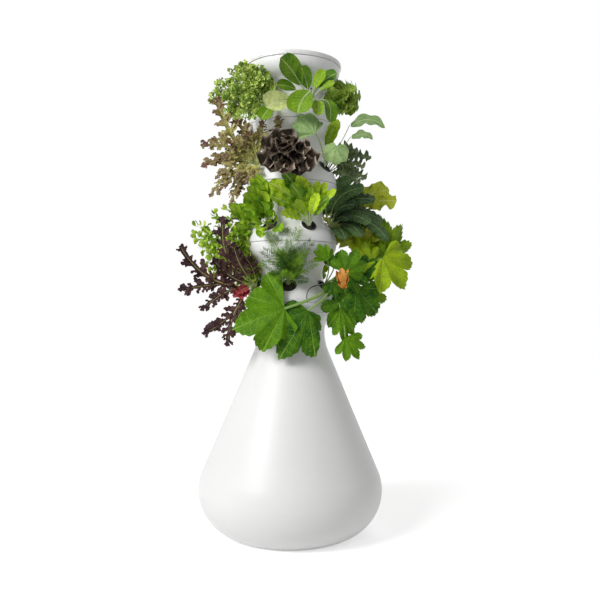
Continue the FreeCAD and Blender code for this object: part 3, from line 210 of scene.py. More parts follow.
def open_foam():
    finish = Finish("open_foam")
    holes = finish.cells(420.0)
    fuzz = finish.clouds(900.0)
    # Painted shade: the colour is darker in the pits of the cells.
    shade = finish.blend((0.10, 0.07, 0.045), (0.025, 0.018, 0.012), holes.rise(0.25, 0.75))
    shade = finish.blend(shade, (0.17, 0.13, 0.09), fuzz * 0.4)
    skin = finish.bump(holes * -1.0 + fuzz * 0.4, 0.0012, 0.9)
    return finish.close(Base_Color=shade, Roughness=0.9 + fuzz * 0.08, Normal=skin)


def brushed_steel():
    finish = Finish("brushed_steel")
    along = finish.node("Mapping", values={"Vector": finish.place(), "Scale": (60.0, 2500.0, 2500.0)})
    lines = finish.clouds(1.0, 3.0, at=along)
    shade = finish.blend((0.52, 0.52, 0.53), (0.66, 0.66, 0.66), lines)
    skin = finish.bump(lines, 0.00003, 0.6)
    return finish.close(Base_Color=shade, Metallic=1.0, Roughness=0.28 + lines * 0.14, Normal=skin)


finish_of_slot = {
    "white_plastic": white_shell(),
    "black_plastic": moulded("black_cup", (0.014, 0.014, 0.015), 0.38),
    "pump_plastic": moulded("pump_black", (0.022, 0.024, 0.028), 0.44, 350.0),
    "pipe_plastic": moulded("riser_white", (0.62, 0.63, 0.64), 0.34),
    "soft_rubber": moulded("soft_rubber", (0.03, 0.03, 0.031), 0.62, 700.0, 0.00012),
    "steel": brushed_steel(),
    "grow_foam": open_foam(),
}
print("finishes made:", sorted(finish_of_slot))

# %% [markdown]
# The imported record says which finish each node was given, so a loop hands them out.

# %% Hand the finishes to the rigid nodes
finished = 0
for piece in frame["nodes"].values():
    given = piece.data.materials[0].name.split(".")[0] if piece.data.materials else ""
    if given in finish_of_slot:
        piece.data.materials.clear()
        piece.data.materials.append(finish_of_slot[given])
        finished += 1
print(finished, "nodes have a slot")

# %% [markdown]
# ## What a leaf looks like up close
# A leaf has a pale rib down its middle, side veins that leave it at a slant, and between them small
# blisters that catch the light. The hollows between the blisters are painted darker, as painted shade.
# The colour runs from deep to fresh green, and each leaf is a little lighter or darker than the next.
# Every leaf that is grown below carries a map, `blade`: across runs from 0 to 1 between its edges and
# along from 0 to 1 between its stalk and its tip. The veins are sums on those two. A lobed leaf has
# several ribs, which is the same sum repeated across the map.

# %% The leaf finish
def leaf_finish(name, deep, fresh, vein, ribs=1, side_veins=8, vein_share=0.6, gloss=0.42,
                rim=None, blister=260.0, relief=0.0012, rib_width=0.11):
    """Deep, fresh and vein are colours; rim, if given, is the colour of the edge."""
    finish = Finish(name)
    across, along = finish.map()
    tint = finish.node("Attribute", {"attribute_name": "tint"}, output=2)

    off_rib = ((across * ribs).fraction() - 0.5).size() * 2
    rib = off_rib.rise(rib_width, 0.2 * rib_width)
    slant = (along * side_veins - off_rib * 2.2).fraction() - 0.5
    branch = slant.size().rise(0.09, 0.02) * off_rib.rise(1.0, 0.55)
    veins = rib.sum("MAXIMUM", branch * 0.45)

    blotch = finish.clouds(38.0, 3.0)
    cells = finish.cells(blister)
    share = finish.node("Math", {"operation": "ADD", "use_clamp": True},
                        {0: tint * 0.75, 1: (blotch - 0.5) * 1.1 + 0.12})
    shade = finish.blend(deep, fresh, share)
    # Painted shade: the colour darkens in the hollows between the blisters.
    shade = finish.blend(shade, tuple(0.4 * channel for channel in deep), cells.rise(0.3, 0.8) * 0.34)
    shade = finish.blend(shade, vein, veins * vein_share)
    if rim is not None:
        shade = finish.blend(shade, rim, off_rib.rise(0.72, 1.0) * 0.85)
    height = veins * -0.8 - cells * 0.5 + blotch * 0.4
    skin = finish.bump(height, relief, 0.55)
    return finish.close(Base_Color=shade, Roughness=gloss + blotch * 0.16, Normal=skin,
                        Specular_IOR_Level=0.14)


# %% [markdown]
# A stalk is a ribbed stem: long faint grooves, paler low down where the light doesn't reach.

# %% The stalk finish
def stalk_finish(name, low, high):
    finish = Finish(name)
    across, along = finish.map()
    grooves = ((across * 9.0).fraction() - 0.5).size()
    blotch = finish.clouds(60.0)
    shade = finish.blend(low, high, along.rise(0.0, 0.9))
    shade = finish.blend(shade, tuple(0.6 * channel for channel in high), grooves * 0.3 + blotch * 0.2)
    skin = finish.bump(grooves + blotch * 0.5, 0.0005, 0.5)
    return finish.close(Base_Color=shade, Roughness=0.42 + blotch * 0.1, Normal=skin)


# %% [markdown]
# ## Growing a leaf
# A leaf could be drawn as a flat outline and bent afterwards, but then its ruffles tear. Here it is
# a grid of points from the start. A spine runs from the crown to the tip in a bow. Beside it the
# grid spreads to the leaf's width, and each point is lifted off by the leaf's fold, cup and ruffle.
# The two directions beside the spine are carried along it with the least turn, so no leaf flips over.

# %% Spines, curves and the directions beside them
FRONT = (0.0, -1.0, 0.25)
LIT_SIDE = (-0.2, -0.8, 0.5)
UP = (0.0, 0.0, 1.0)
MM = 0.001


def unit(vector):
    vector = np.asarray(vector, float)
    return vector / max(np.linalg.norm(vector), 1e-9)


def square_to(vector, ahead):
    """The direction nearest to vector that stands at a right angle to ahead."""
    vector = np.asarray(vector, float)
    return unit(vector - (vector @ ahead) * ahead)


def spine(start, reach, bow, sway=0.0, steps=24):
    """Points from start to start + reach. Bow and sway are shares of its length."""
    start, reach = np.asarray(start, float), np.asarray(reach, float)
    length = np.linalg.norm(reach)
    ahead = reach / length
    lift = square_to(UP, ahead)
    side = np.cross(ahead, lift)
    share = np.linspace(0, 1, steps)[:, None]
    arch = 4 * share * (1 - share) * length
    return start + share * reach + arch * (bow * lift + sway * side)


def curve(steps, *corners):
    """Points of a Bezier curve that starts at the first corner and ends at the last."""
    share = np.linspace(0, 1, steps)[:, None]
    last = len(corners) - 1
    return sum(math.comb(last, i) * share ** i * (1 - share) ** (last - i) * np.array(corner)
               for i, corner in enumerate(corners))


def beside(points, facing):
    """For each point of a spine: its direction, the way across, and the way the face looks."""
    ahead = np.gradient(points, axis=0)
    ahead /= np.linalg.norm(ahead, axis=1)[:, None]
    middle = len(points) // 2
    normal = np.zeros_like(points)
    aim = np.asarray(facing, float)
    if abs(unit(aim) @ ahead[middle]) > 0.96:
        aim = aim + np.array([0.2, 0.1, 0.9])
    normal[middle] = square_to(aim, ahead[middle])
    for step, end in ((1, len(points)), (-1, -1)):
        for i in range(middle + step, end, step):
            normal[i] = square_to(normal[i - step], ahead[i])
    return ahead, np.cross(ahead, normal), normal


# %% [markdown]
# A plant is one piece of many sheets. The class below gathers them as rows of points, and at the end
# hands everything to Blender at once. Its `blade` makes a leaf with any outline: `round_base` and
# `round_tip` make its ends blunt when small and pointed when large, `lobes` and `cut` notch the edge,
# `lean` sweeps the lobes forward, and `waves` and `ruffle` make it frilly towards the edge.

# %% The gatherer of leaves
CROWN_FROM_AXIS = 0.1269  # metres, as are all lengths that are not said to be millimetres
CROWN_OVER_SEAM = 0.0546
OTHER_EDGE = 0.37  # how far the second edge's waves and lobes are out of step with the first's
HAND_GRID = (10, 161)  # rows and columns of a hand-shaped leaf
FEATHER_PAIRS = 8
FEATHER_STALK = 0.3
POINTED = dict(rows=14, columns=5, lobes=2.5, lean=0.6, waves=1.5)  # the lobes of a feather
FROND_PAIRS = 15


def add(name, data):
    """A new object in the scene."""
    item = bpy.data.objects.new(name, data)
    scene.collection.objects.link(item)
    return item


class Plant:
    """One plant. Level 1 is the top ring; port is the port's angle, to the right of the front."""

    def __init__(self, name, level, port, seed):
        self.name = name
        self.level = level
        self.chance = np.random.default_rng(seed)
        self.draw = self.chance.uniform
        seam = next(joint["pos_m"][2] for joint in frame["joints"]
                    if joint["name"] == f"twist_level_{level}")
        angle = math.radians(port)
        self.outward = np.array([math.sin(angle), -math.cos(angle), 0.0])
        self.crown = CROWN_FROM_AXIS * self.outward + np.array([0, 0, seam + CROWN_OVER_SEAM])
        self.points, self.faces, self.chart, self.tints, self.kinds = [], [], [], [], []
        self.count = 0

    def sheet(self, grid, across, along, tint, kind=0):
        """Adds a grid of points as faces. Kind is the finish: 0 leaf, 1 stalk, 2 and on others."""
        rows, columns = grid.shape[:2]
        index = np.arange(rows * columns).reshape(rows, columns) + self.count
        corners = (index[:-1, :-1], index[:-1, 1:], index[1:, 1:], index[1:, :-1])
        quads = np.stack(corners, -1).reshape(-1, 4)
        self.points.append(grid.reshape(-1, 3))
        self.faces.append(quads)
        spread = np.stack(np.broadcast_arrays(across, along), -1)
        self.chart.append(spread.reshape(-1, 2))
        self.tints.append(np.full(rows * columns, tint))
        self.kinds.append(np.full(len(quads), kind))
        self.count += rows * columns

    def stem(self, points, thick, thin, sides=6, kind=1, facing=UP, tint=0.5):
        """A round stem along points, from thick to thin, both in millimetres."""
        ahead, across, normal = beside(points, facing)
        turn = np.linspace(0, 2 * math.pi, sides + 1)
        along = np.linspace(0, 1, len(points))[:, None]
        thick, thin = thick * MM, thin * MM
        radius = (thick + (thin - thick) * along) / 2
        turns = turn[None, :, None]
        ring = np.cos(turns) * across[:, None] + np.sin(turns) * normal[:, None]
        grid = points[:, None] + radius[:, :, None] * ring
        self.sheet(grid, turn / (2 * math.pi), along, tint, kind)

    def shoot(self, tip, bow, thick, thin, sides=6):
        """A stem from the crown to tip, in millimetres. Gives the place where it ends."""
        end = self.crown + np.array(tip) * MM
        self.stem(spine(self.crown, end - self.crown, bow), thick, thin, sides=sides)
        return end

    def blade(self, points, width, facing, tint, round_tip=0.5, round_base=0.6, fold=0.1, cup=0.0,
              ruffle=0.0, waves=4.0, lobes=0.0, cut=0.0, lean=0.0, rows=16, columns=9, edge=2.0, kind=0):
        """One leaf blade along points. Width is edge to edge at its widest, in metres."""
        share = np.linspace(0, 1, rows)
        known = np.linspace(0, 1, len(points))
        centre = np.stack([np.interp(share, known, points[:, i]) for i in range(3)], -1)
        ahead, across, normal = beside(centre, facing)
        v = share[:, None]
        u = np.linspace(-1, 1, columns)[None, :]
        side = np.where(u < 0, 0.0, OTHER_EDGE)
        hump = np.clip(v, 1e-6, 1) ** round_base * np.clip(1 - v, 0, 1) ** round_tip
        peak = round_base / (round_base + round_tip)
        hump = hump / (peak ** round_base * (1 - peak) ** round_tip)
        shift = self.draw(0, 1)
        notch = 0.5 + 0.5 * np.cos(2 * math.pi * (lobes * v + side + shift))
        half = width / 2 * hump * (1 - cut * notch ** 1.4)
        out = u * half
        calm_ends = np.minimum(1, 6 * v) * np.minimum(1, 5 * (1 - v) + 0.2)
        frill = ruffle * width / 2 * np.abs(u) ** edge * calm_ends
        phase = 2 * math.pi * (waves * v + side + shift)
        second = 2 * math.pi * (waves * 2.3 * v + 1.7 * side)
        up = frill * (np.sin(phase) + 0.45 * np.sin(second)) + (fold * np.abs(u) + cup * u * u) * half
        out = out + np.sign(u) * frill * 0.55 * np.cos(phase)
        grid = centre[:, None] + out[:, :, None] * across[:, None] + up[:, :, None] * normal[:, None]
        grid = grid + (lean * np.abs(out))[:, :, None] * ahead[:, None]
        self.sheet(grid, (u + 1) / 2, v, tint, kind)

    def leaf(self, reach, width, bow=0.15, facing=None, stalk=0.3, tint=None, start=None,
             thick=3.0, thin=1.0, **shape):
        """A stalk and its blade from the crown to reach, all in millimetres."""
        start = self.crown if start is None else start
        reach = np.array(reach, float) * MM
        root = start + unit(reach) * 0.004 - np.array([0, 0, 0.006])
        points = spine(root, start + reach - root, bow)
        facing = self.outward * 0.7 + np.array([0, 0, 0.7]) if facing is None else facing
        tint = self.draw(0.1, 0.9) if tint is None else tint
        first = int(stalk * (len(points) - 1))
        self.stem(points[:-4], thick, thin, facing=facing)
        self.blade(points[first:] + 0.0006 * unit(facing), width * MM, facing, tint, **shape)

    def fan_leaf(self, base, heading, facing, radius, tint, reach, sweep, lobes=5, deep=0.34,
                 droop=0.25, point=0.85, ruffle=0.05, teeth=0.07, kind=0):
        """A leaf whose ribs leave one point like the fingers of a hand, each with its own reach, a
        share of the radius in millimetres. Deep is how far the notches between them go in."""
        rows, columns = HAND_GRID
        ahead = unit(heading)
        normal = square_to(facing, ahead)
        across = np.cross(ahead, normal)
        turn = np.linspace(-1, 1, columns)[None, :]
        v = np.linspace(0, 1, rows)[:, None]
        finger = lobes * (turn + 1) / 2
        fingers = 1 - np.abs((finger % 1.0) - 0.5) * 2
        outline = 1 - deep * (1 - fingers ** point)
        middles = np.arange(len(reach)) * lobes / len(reach) + lobes / len(reach) / 2
        lengths = np.interp(finger, middles, reach)
        outline = outline * lengths * (1 - teeth * ((turn * columns / 10) % 1.0))
        angle = np.radians(sweep) * turn
        out = radius * MM * outline * v
        shift = self.draw(0, 6)
        rise = -droop * radius * MM * v ** 2 * (0.6 + 0.4 * np.cos(angle))
        rise = rise - 0.10 * radius * MM * v * (fingers - 0.5)
        rise = rise + ruffle * radius * MM * v ** 3 * np.sin(angle * 9 + shift)
        x = out * np.cos(angle)
        y = out * np.sin(angle)
        grid = base + x[:, :, None] * ahead + y[:, :, None] * across + rise[:, :, None] * normal
        self.sheet(grid, (turn + 1) / 2, v, tint, kind)

    def feather(self, reach, width, facing, bow=0.14, tint=1.0):
        """A rib with pointed lobes on both sides, as mizuna has. Its colour falls from tint to 0."""
        reach = np.array(reach, float) * MM
        points = spine(self.crown, reach, bow, steps=40)
        last_point = len(points) - 1
        leafy = 1 - FEATHER_STALK
        self.stem(points, 3.2, 1.0, facing=facing)
        ahead, across, normal = beside(points, facing)
        for part in range(4):
            first = int((FEATHER_STALK + leafy * part / 4) * last_point)
            last = min(last_point, first + int(leafy * last_point / 4) + 3)
            self.blade(points[first:last + 1], 0.24 * width * MM, facing, tint * (0.9 - 0.24 * part),
                       rows=8, columns=5, round_base=0.25, round_tip=0.25, ruffle=0.2, waves=2.0)
        for i in range(FEATHER_PAIRS):
            share = FEATHER_STALK + leafy * (i + 0.1) / FEATHER_PAIRS
            full = math.sin(math.pi * (0.25 + 0.62 * (i / FEATHER_PAIRS) ** 1.2)) ** 0.8
            for side in (-1, 1):
                place = min(last_point, int((share + self.draw(0, 0.06)) * last_point))
                way = side * across[place] + self.draw(0.5, 1.2) * ahead[place]
                way = way + self.draw(-0.4, 0.5) * normal[place]
                size = 0.56 * width * full * self.draw(0.7, 1.25) * MM
                lobe = spine(points[place], unit(way) * size, 0.1, self.draw(-0.2, 0.2), steps=8)
                self.blade(lobe, size * self.draw(0.42, 0.64), facing,
                           tint * (1 - share) * 1.1 - 0.1, round_tip=0.55, round_base=0.3, cut=0.3,
                           ruffle=0.22, **POINTED)
        tip = unit(ahead[-1]) * width * 0.45 * MM
        self.blade(spine(points[-4], tip, 0.1, steps=8), width * 0.34 * MM, facing, -0.1, cut=0.35,
                   ruffle=0.2, **POINTED)

    def wand(self, reach, bow, sway):
        """A thin stem from the crown. Gives its reach in metres, its points and its length."""
        reach = np.array(reach, float) * MM
        points = spine(self.crown, reach, bow, self.draw(-sway, sway))
        self.stem(points, 1.8, 0.6, sides=5)
        return reach, points, np.linalg.norm(reach)

    def sprig(self, reach, leaflets, small, narrow, ruffle, spread=0.42, bare=0.35):
        """A thin stem with small leaflets all round its outer part, as parsley has."""
        reach, points, length = self.wand(reach, 0.12, 0.08)
        for i in range(leaflets):
            share = bare + (1 - bare) * (i + self.draw(0, 0.8)) / leaflets
            at = points[min(len(points) - 1, int(share * (len(points) - 1)))]
            way = unit(self.chance.normal(size=3) + 0.9 * unit(reach) + np.array([0, 0, 0.3]))
            twig = length * spread * (1.15 - share) * self.draw(0.3, 0.9)
            tip = at + way * twig
            self.stem(spine(at, tip - at, 0.08, steps=4), 0.9, 0.5, sides=4)
            look = unit(self.chance.normal(size=3) * 0.6 + self.outward)
            size = small * self.draw(0.7, 1.25) * MM
            head = unit(way + self.chance.normal(size=3) * 0.35)
            self.blade(spine(tip, head * size, 0.1, steps=6), size * narrow, look,
                       self.draw(0.0, 1.0), rows=8, columns=5, lobes=2.5, cut=0.35,
                       ruffle=ruffle, waves=2.0, round_tip=0.35, cup=0.2)

    def frond(self, reach):
        """A thin stem with pairs of branches that end in threads, as dill has."""
        tint = self.draw(-0.2, 1.0)
        reach, points, length = self.wand(reach, 0.1, 0.1)
        ahead, across, normal = beside(points, self.outward)
        for i in range(FROND_PAIRS):
            share = 0.3 + 0.7 * i / FROND_PAIRS
            place = int(share * (len(points) - 1))
            for side in (-1, 1):
                way = ahead[place] * 0.8 + side * across[place]
                way = unit(way + normal[place] * self.draw(-0.5, 0.5))
                twig = spine(points[place], way * length * 0.30 * (1.15 - share), 0.1, steps=6)
                self.stem(twig, 1.2, 0.7, sides=3, kind=0, tint=tint)
                for knot in twig[1:5]:
                    for split in (-1, 1):
                        fine = way + split * 0.8 * normal[place] + self.chance.normal(size=3) * 0.35
                        hair = spine(knot, unit(fine) * length * 0.085, 0.1, steps=3)
                        self.stem(hair, 1.0, 0.5, sides=3, kind=0, tint=tint)

    def spread(self, number, near, far, low, high):
        """Reaches fanned about the way the port faces. Near and far are lengths, low and high slopes."""
        heading = math.atan2(self.outward[1], self.outward[0])
        for i in range(number):
            turn = (i / (number - 1) - 0.5) * 150 + self.draw(-14, 14)
            turn = heading + math.radians(turn)
            climb = math.radians(self.draw(low, high))
            length = self.draw(near, far)
            flat = length * math.cos(climb)
            yield (flat * math.cos(turn), flat * math.sin(turn), length * math.sin(climb))

    def plant(self, finishes, slot="green_leaf"):
        """Makes the piece, lets it ride with its ring, and lets it stand for the solid plant.
        Finishes are the names for the kinds 0, 1 and on."""
        points = np.concatenate(self.points)
        quads = np.concatenate(self.faces)
        mesh = bpy.data.meshes.new(self.name + "_foliage")
        mesh.vertices.add(len(points))
        mesh.vertices.foreach_set("co", points.astype(np.float32).ravel())
        mesh.loops.add(quads.size)
        mesh.loops.foreach_set("vertex_index", quads.astype(np.int32).ravel())
        mesh.polygons.add(len(quads))
        mesh.polygons.foreach_set("loop_start", np.arange(0, quads.size, 4, dtype=np.int32))
        mesh.polygons.foreach_set("material_index", np.concatenate(self.kinds).astype(np.int32))
        mesh.polygons.foreach_set("use_smooth", np.ones(len(quads), bool))
        chart = mesh.uv_layers.new(name="blade")
        spread = np.concatenate(self.chart)[quads.ravel()]
        chart.data.foreach_set("uv", spread.astype(np.float32).ravel())
        tint = mesh.attributes.new("tint", "FLOAT", "POINT")
        tint.data.foreach_set("value", np.concatenate(self.tints).astype(np.float32))
        for finish in finishes:
            mesh.materials.append(bpy.data.materials[finish])
        mesh.update(calc_edges=True)
        mesh.validate()
        piece = add(self.name + "_foliage", mesh)
        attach(piece, f"level_{self.level}")
        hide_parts(self.name)
        print(self.name, len(quads), "faces")


def bunch(name, level, port, seed, reaches, width, finishes, slot="green_leaf", **look):
    """A whole plant of like leaves. Reaches may also be the five numbers of Plant.spread."""
    made = Plant(name, level, port, seed)
    for reach in made.spread(*reaches) if np.ndim(reaches) == 1 else reaches:
        made.leaf(reach, width, **look)
    made.plant(finishes, slot)


# %% [markdown]
# ## Colours of the greens
# Each kind gets its own pair of greens, vein colour and gloss. Bok choy and basil shine, collard has
# a grey bloom, the mizunas and the lettuce are purple to nearly black. Each row of the table has the
# deep, the fresh and the vein colour, and then what else differs from the usual leaf. The fresh greens
# are lifted well above a real leaf's colour: that is painted light, which stands in for the light
# that shines through leaves into the shade of the plant.

# %% Leaf and stalk colours
for name, low, high in (
    ("pale_stalk", (0.62, 0.7, 0.46), (0.34, 0.47, 0.14)),
    ("green_stalk", (0.36, 0.48, 0.16), (0.2, 0.36, 0.07)),
    ("lime_stalk", (0.55, 0.62, 0.26), (0.4, 0.52, 0.12)),
    ("dark_stalk", (0.3, 0.33, 0.16), (0.07, 0.05, 0.045)),
    # The near-black strand's colour is painted shade, not a real stalk's colour.
    ("squash_tendril", (0.05, 0.08, 0.03), (0.02, 0.03, 0.018)),
):
    stalk_finish(name, low, high)

HAND_RIBS = dict(ribs=5, side_veins=7, rib_width=0.05)
for name, deep, fresh, vein, more in (
    ("bok_choy_leaf", (0.045, 0.16, 0.005), (0.34, 0.56, 0.026), (0.56, 0.68, 0.2), dict(gloss=0.34)),
    ("bok_choy_young_leaf", (0.44, 0.58, 0.13), (0.84, 0.91, 0.38), (0.9, 0.94, 0.6),
     dict(gloss=0.4, blister=90)),
    ("curly_kale_leaf", (0.075, 0.19, 0.016), (0.7, 0.94, 0.14), (0.62, 0.78, 0.24), dict(gloss=0.45)),
    ("parsley_leaf", (0.2, 0.4, 0.055), (0.86, 0.98, 0.25), (0.66, 0.82, 0.28), {}),
    ("purple_lettuce_leaf", (0.006, 0.005, 0.004), (0.2, 0.155, 0.115), (0.5, 0.4, 0.3),
     dict(gloss=0.4, rim=(0.62, 0.5, 0.38), vein_share=0.3)),
    ("collard_leaf", (0.14, 0.27, 0.095), (0.46, 0.63, 0.24), (0.6, 0.72, 0.4), dict(gloss=0.55)),
    ("collard_fan_leaf", (0.15, 0.32, 0.105), (0.5, 0.69, 0.27), (0.66, 0.78, 0.46),
     dict(ribs=7, side_veins=5, gloss=0.5, vein_share=0.7, rib_width=0.08)),
    ("purple_kale_leaf", (0.04, 0.085, 0.035), (0.44, 0.56, 0.24), (0.44, 0.48, 0.3), {}),
    ("red_mizuna_leaf", (0.15, 0.062, 0.06), (0.8, 0.8, 0.23), (0.66, 0.66, 0.26),
     dict(vein_share=0.4)),
    ("romaine_leaf", (0.055, 0.21, 0.005), (0.7, 0.97, 0.035), (0.74, 0.88, 0.34), dict(gloss=0.4)),
    ("lacinato_leaf", (0.012, 0.042, 0.018), (0.15, 0.27, 0.085), (0.3, 0.4, 0.2),
     dict(gloss=0.46, blister=170, relief=0.0025)),
    # The oak leaf's greens are lifted most of all: painted light for leaves that lie in the tower's shadow.
    ("oak_leaf", (0.54, 0.66, 0.03), (0.95, 0.99, 0.13), (0.86, 0.92, 0.32), {}),
    ("basil_leaf", (0.085, 0.29, 0.008), (0.68, 0.94, 0.055), (0.54, 0.74, 0.14),
     dict(gloss=0.36, side_veins=5)),
    ("dill_leaf", (0.055, 0.17, 0.02), (0.46, 0.8, 0.05), (0.36, 0.56, 0.14), {}),
    ("squash_leaf", (0.014, 0.08, 0.002), (0.17, 0.38, 0.005), (0.32, 0.5, 0.08),
     dict(gloss=0.5, relief=0.0024, **HAND_RIBS)),
    ("squash_petal", (0.72, 0.22, 0.02), (0.88, 0.5, 0.12), (0.9, 0.66, 0.3), dict(side_veins=0.5)),
    ("mustard_leaf", (0.12, 0.27, 0.006), (0.52, 0.68, 0.014), (0.56, 0.68, 0.12),
     dict(vein_share=0.5, relief=0.002, **HAND_RIBS)),
    ("herb_leaf", (0.18, 0.42, 0.02), (0.82, 0.99, 0.13), (0.66, 0.84, 0.2), {}),
    ("purple_mizuna_leaf", (0.026, 0.007, 0.014), (0.16, 0.075, 0.06), (0.16, 0.1, 0.08),
     dict(gloss=0.38, vein_share=0.35)),
    ("blush_leaf", (0.36, 0.035, 0.05), (0.6, 0.1, 0.11), (0.66, 0.3, 0.26), {}),
):
    leaf_finish(name, deep, fresh, vein, **more)

# %% [markdown]
# ## Top ring
# Bok choy faces the viewer: smooth spoon leaves on thick pale stalks. To its left are two curly
# parsleys, and round the right and the back three curly kales with frilled edges.

# %% Bok choy
SPOON = dict(round_base=0.75, round_tip=0.42, fold=0.06, cup=0.18, thick=7, thin=1.6)
bok = Plant("bok_choy", 1, 26, 11)


def spoon_leaf(reach, width, bow, stalk, tint, facing=FRONT, **more):
    bok.leaf(reach, width, bow=bow, stalk=stalk, tint=tint, facing=facing, **SPOON, **more)


spoon_leaf((-94, -84, 114), 74, 0.08, 0.38, 0.3)
spoon_leaf((-32, -50, 100), 48, 0.1, 0.35, 0.12)
spoon_leaf((46, -62, 82), 36, 0.14, 0.35, 1)
spoon_leaf((84, -38, 82), 42, 0.16, 0.4, 0.1)
spoon_leaf((76, -60, 44), 24, 0.16, 0.45, 0.9)
front_start = bok.shoot((2, -70, 24), 0.16, 7, 5, sides=8)
spoon_leaf((-42, -20, -84), 82, 0.1, 0.04, 0.5, (-0.1, -1, 0.35), start=front_start)
spoon_leaf((-136, -104, -46), 74, 0.12, 0.42, 0.8, (0.1, -0.95, 0.25), kind=2)
spoon_leaf((-104, -50, 40), 40, 0.15, 0.5, 0.2)
spoon_leaf((-152, -84, -78), 46, 0.2, 0.72, 0.45)
spoon_leaf((26, -82, -64), 38, 0.3, 0.5, 0.95)
spoon_leaf((62, -62, -80), 46, 0.4, 0.4, 0.05, (0.4, -0.8, 0.3))
bok.plant(["bok_choy_leaf", "pale_stalk", "bok_choy_young_leaf"])

# %% Curly parsley
for name, port, seed, reaches in (
    ("curly_parsley_2", -34, 12, ((-54, -54, 70), (-68, -50, 84), (-95, -40, 62), (-14, -60, 46),
        (-55, -75, 10), (-95, -60, -62), (-45, -70, -62), (-128, -40, 20), (-80, -80, -25), (5, -60, 15),
        (-40, -70, 50), (-70, -62, 35), (-75, -40, 101), (-84, -46, 84), (-92, -40, 104),
        (-104, -40, 84))),
    ("curly_parsley_1", -94, 13, ((-90, -20, 128), (-130, 0, 95), (-152, -20, 35), (-110, -50, 25),
        (-68, 10, 150), (-142, 30, 75), (-85, -10, -15), (-40, -60, -10), (-100, -50, 85),
        (-50, -70, 60), (-110, 60, 20), (-70, 60, 90))),
):
    parsley = Plant(name, 1, port, seed)
    for reach in reaches:
        parsley.sprig(reach, leaflets=46, small=17, narrow=0.9, ruffle=0.4)
    parsley.plant(["parsley_leaf", "green_stalk"])

# %% Curly kale
FRILLED = dict(lobes=4, cut=0.24, ruffle=0.44, waves=8, edge=2.4, rows=44, columns=11, fold=0.15,
               stalk=0.35, round_tip=0.35, round_base=0.7, thick=4, thin=1.4)
CURLY = dict(finishes=["curly_kale_leaf", "green_stalk"], **FRILLED)
bunch("curly_kale_1", 1, 86, 14, (
    (70, -20, 76), (100, -10, 45), (46, 20, 96), (60, -40, -8), (25, -60, 55), (95, 20, 20), (55, -50, 35),
    (84, -40, 66), (70, -50, 10), (84, 50, 50), (52, 62, 70), (74, 60, 20)),
    60, bow=0.16, facing=(0.2, -0.8, 0.5), **CURLY)
for name, port, seed in (("curly_kale_2", 146, 15), ("curly_kale_3", 206, 16)):
    bunch(name, 1, port, seed, (15, 85, 140, -12, 70), 58, bow=0.18, **CURLY)

# %% [markdown]
# ## Second ring
# A dark rosette of purple lettuce sits in front. Red mizuna feathers out to the left, collard with
# rounded grey-green leaves to the right, and purple kale behind.

# %% Purple lettuce
HEAD = dict(ruffle=0.22, waves=3, edge=2.4, rows=24, columns=11, fold=0.12, cup=0.5, stalk=0.1,
            round_tip=0.16, round_base=0.7, thick=4, thin=2)
lettuce = Plant("purple_lettuce", 2, -4, 21)
for width, bow, facing, freshest, reaches in (
    (66, 0.14, (0, -0.9, 0.4), 1, (
        (-88, -66, 34), (-66, -60, 66), (-26, -50, 92), (4, -52, 74), (36, -64, 46), (66, -68, 22),
        (84, -64, -18), (66, -80, -44), (34, -90, -60), (-16, -94, -56), (-56, -86, -48),
        (-88, -70, -24), (-26, -40, 34), (18, -42, 30))),
    (54, 0.24, (0, -0.5, 0.9), 1.2, (
        (-38, -96, 32), (10, -98, 30), (46, -98, 2), (-58, -94, -4), (26, -104, -26), (-14, -108, 0),
        (-40, -70, 24), (0, -80, 48), (-22, -108, 18))),
):
    for reach in reaches:
        tint = lettuce.draw(-0.2, freshest)
        lettuce.leaf(reach, width, bow=bow, facing=facing, tint=tint, **HEAD)
low_start = lettuce.crown + np.array([-50, -64, -18]) * MM
lettuce.leaf((34, -4, 66), 62, bow=0.06, facing=(0, -1, 0.1), tint=0, start=low_start, **HEAD)
lettuce.plant(["purple_lettuce_leaf", "dark_stalk"], "purple_leaf")

# %% Collard
ROUND = dict(round_base=0.5, round_tip=0.38, ruffle=0.1, waves=3, fold=0.08, rows=20, columns=11,
             thick=3.6, thin=1.4, stalk=0.4, facing=FRONT, kind=3)
ARROW = dict(round_base=0.45, round_tip=0.6, fold=0.12, cut=0.36, lobes=2.5, rows=26, thick=2.4,
             thin=1.2, stalk=0.03, bow=0.24, facing=FRONT, tint=0.3)
collard = Plant("collard", 2, 56, 22)
fan_start = collard.shoot((-32, -96, 82), 0.14, 4, 3)
collard.fan_leaf(fan_start, (-0.6, -0.1, 0.8), (0.1, -1, 0.3), 84, 0.55, sweep=74, deep=0.12,
                 point=0.5, ruffle=0.03, reach=(0.62, 0.96, 1, 0.92, 0.66), kind=2)
collard.leaf((42, -34, 144), 38, bow=0.08, tint=0.8, **ROUND)
collard.leaf((30, -50, 120), 26, bow=0.12, tint=0.3, **ROUND)
for start, reach, width in (((77, -50, 122), (112, -10, -12), 44), ((80, -60, 82), (70, -6, -10), 32)):
    arrow_start = collard.shoot(start, -0.04, 2.6, 2.2)
    collard.leaf(reach, width, start=arrow_start, **ARROW)
round_start = collard.shoot((35, -76, 47), 0.15, 2.6, 2)
collard.fan_leaf(round_start, (-0.05, -0.1, -1), (0.1, -0.9, 0.3), 58, 0.8, lobes=7, sweep=150,
                 deep=0.12, point=0.5, reach=(0.35, 0.75, 0.95, 1, 0.95, 0.75, 0.35), kind=2)
collard.plant(["collard_leaf", "pale_stalk", "collard_fan_leaf", "romaine_leaf"])

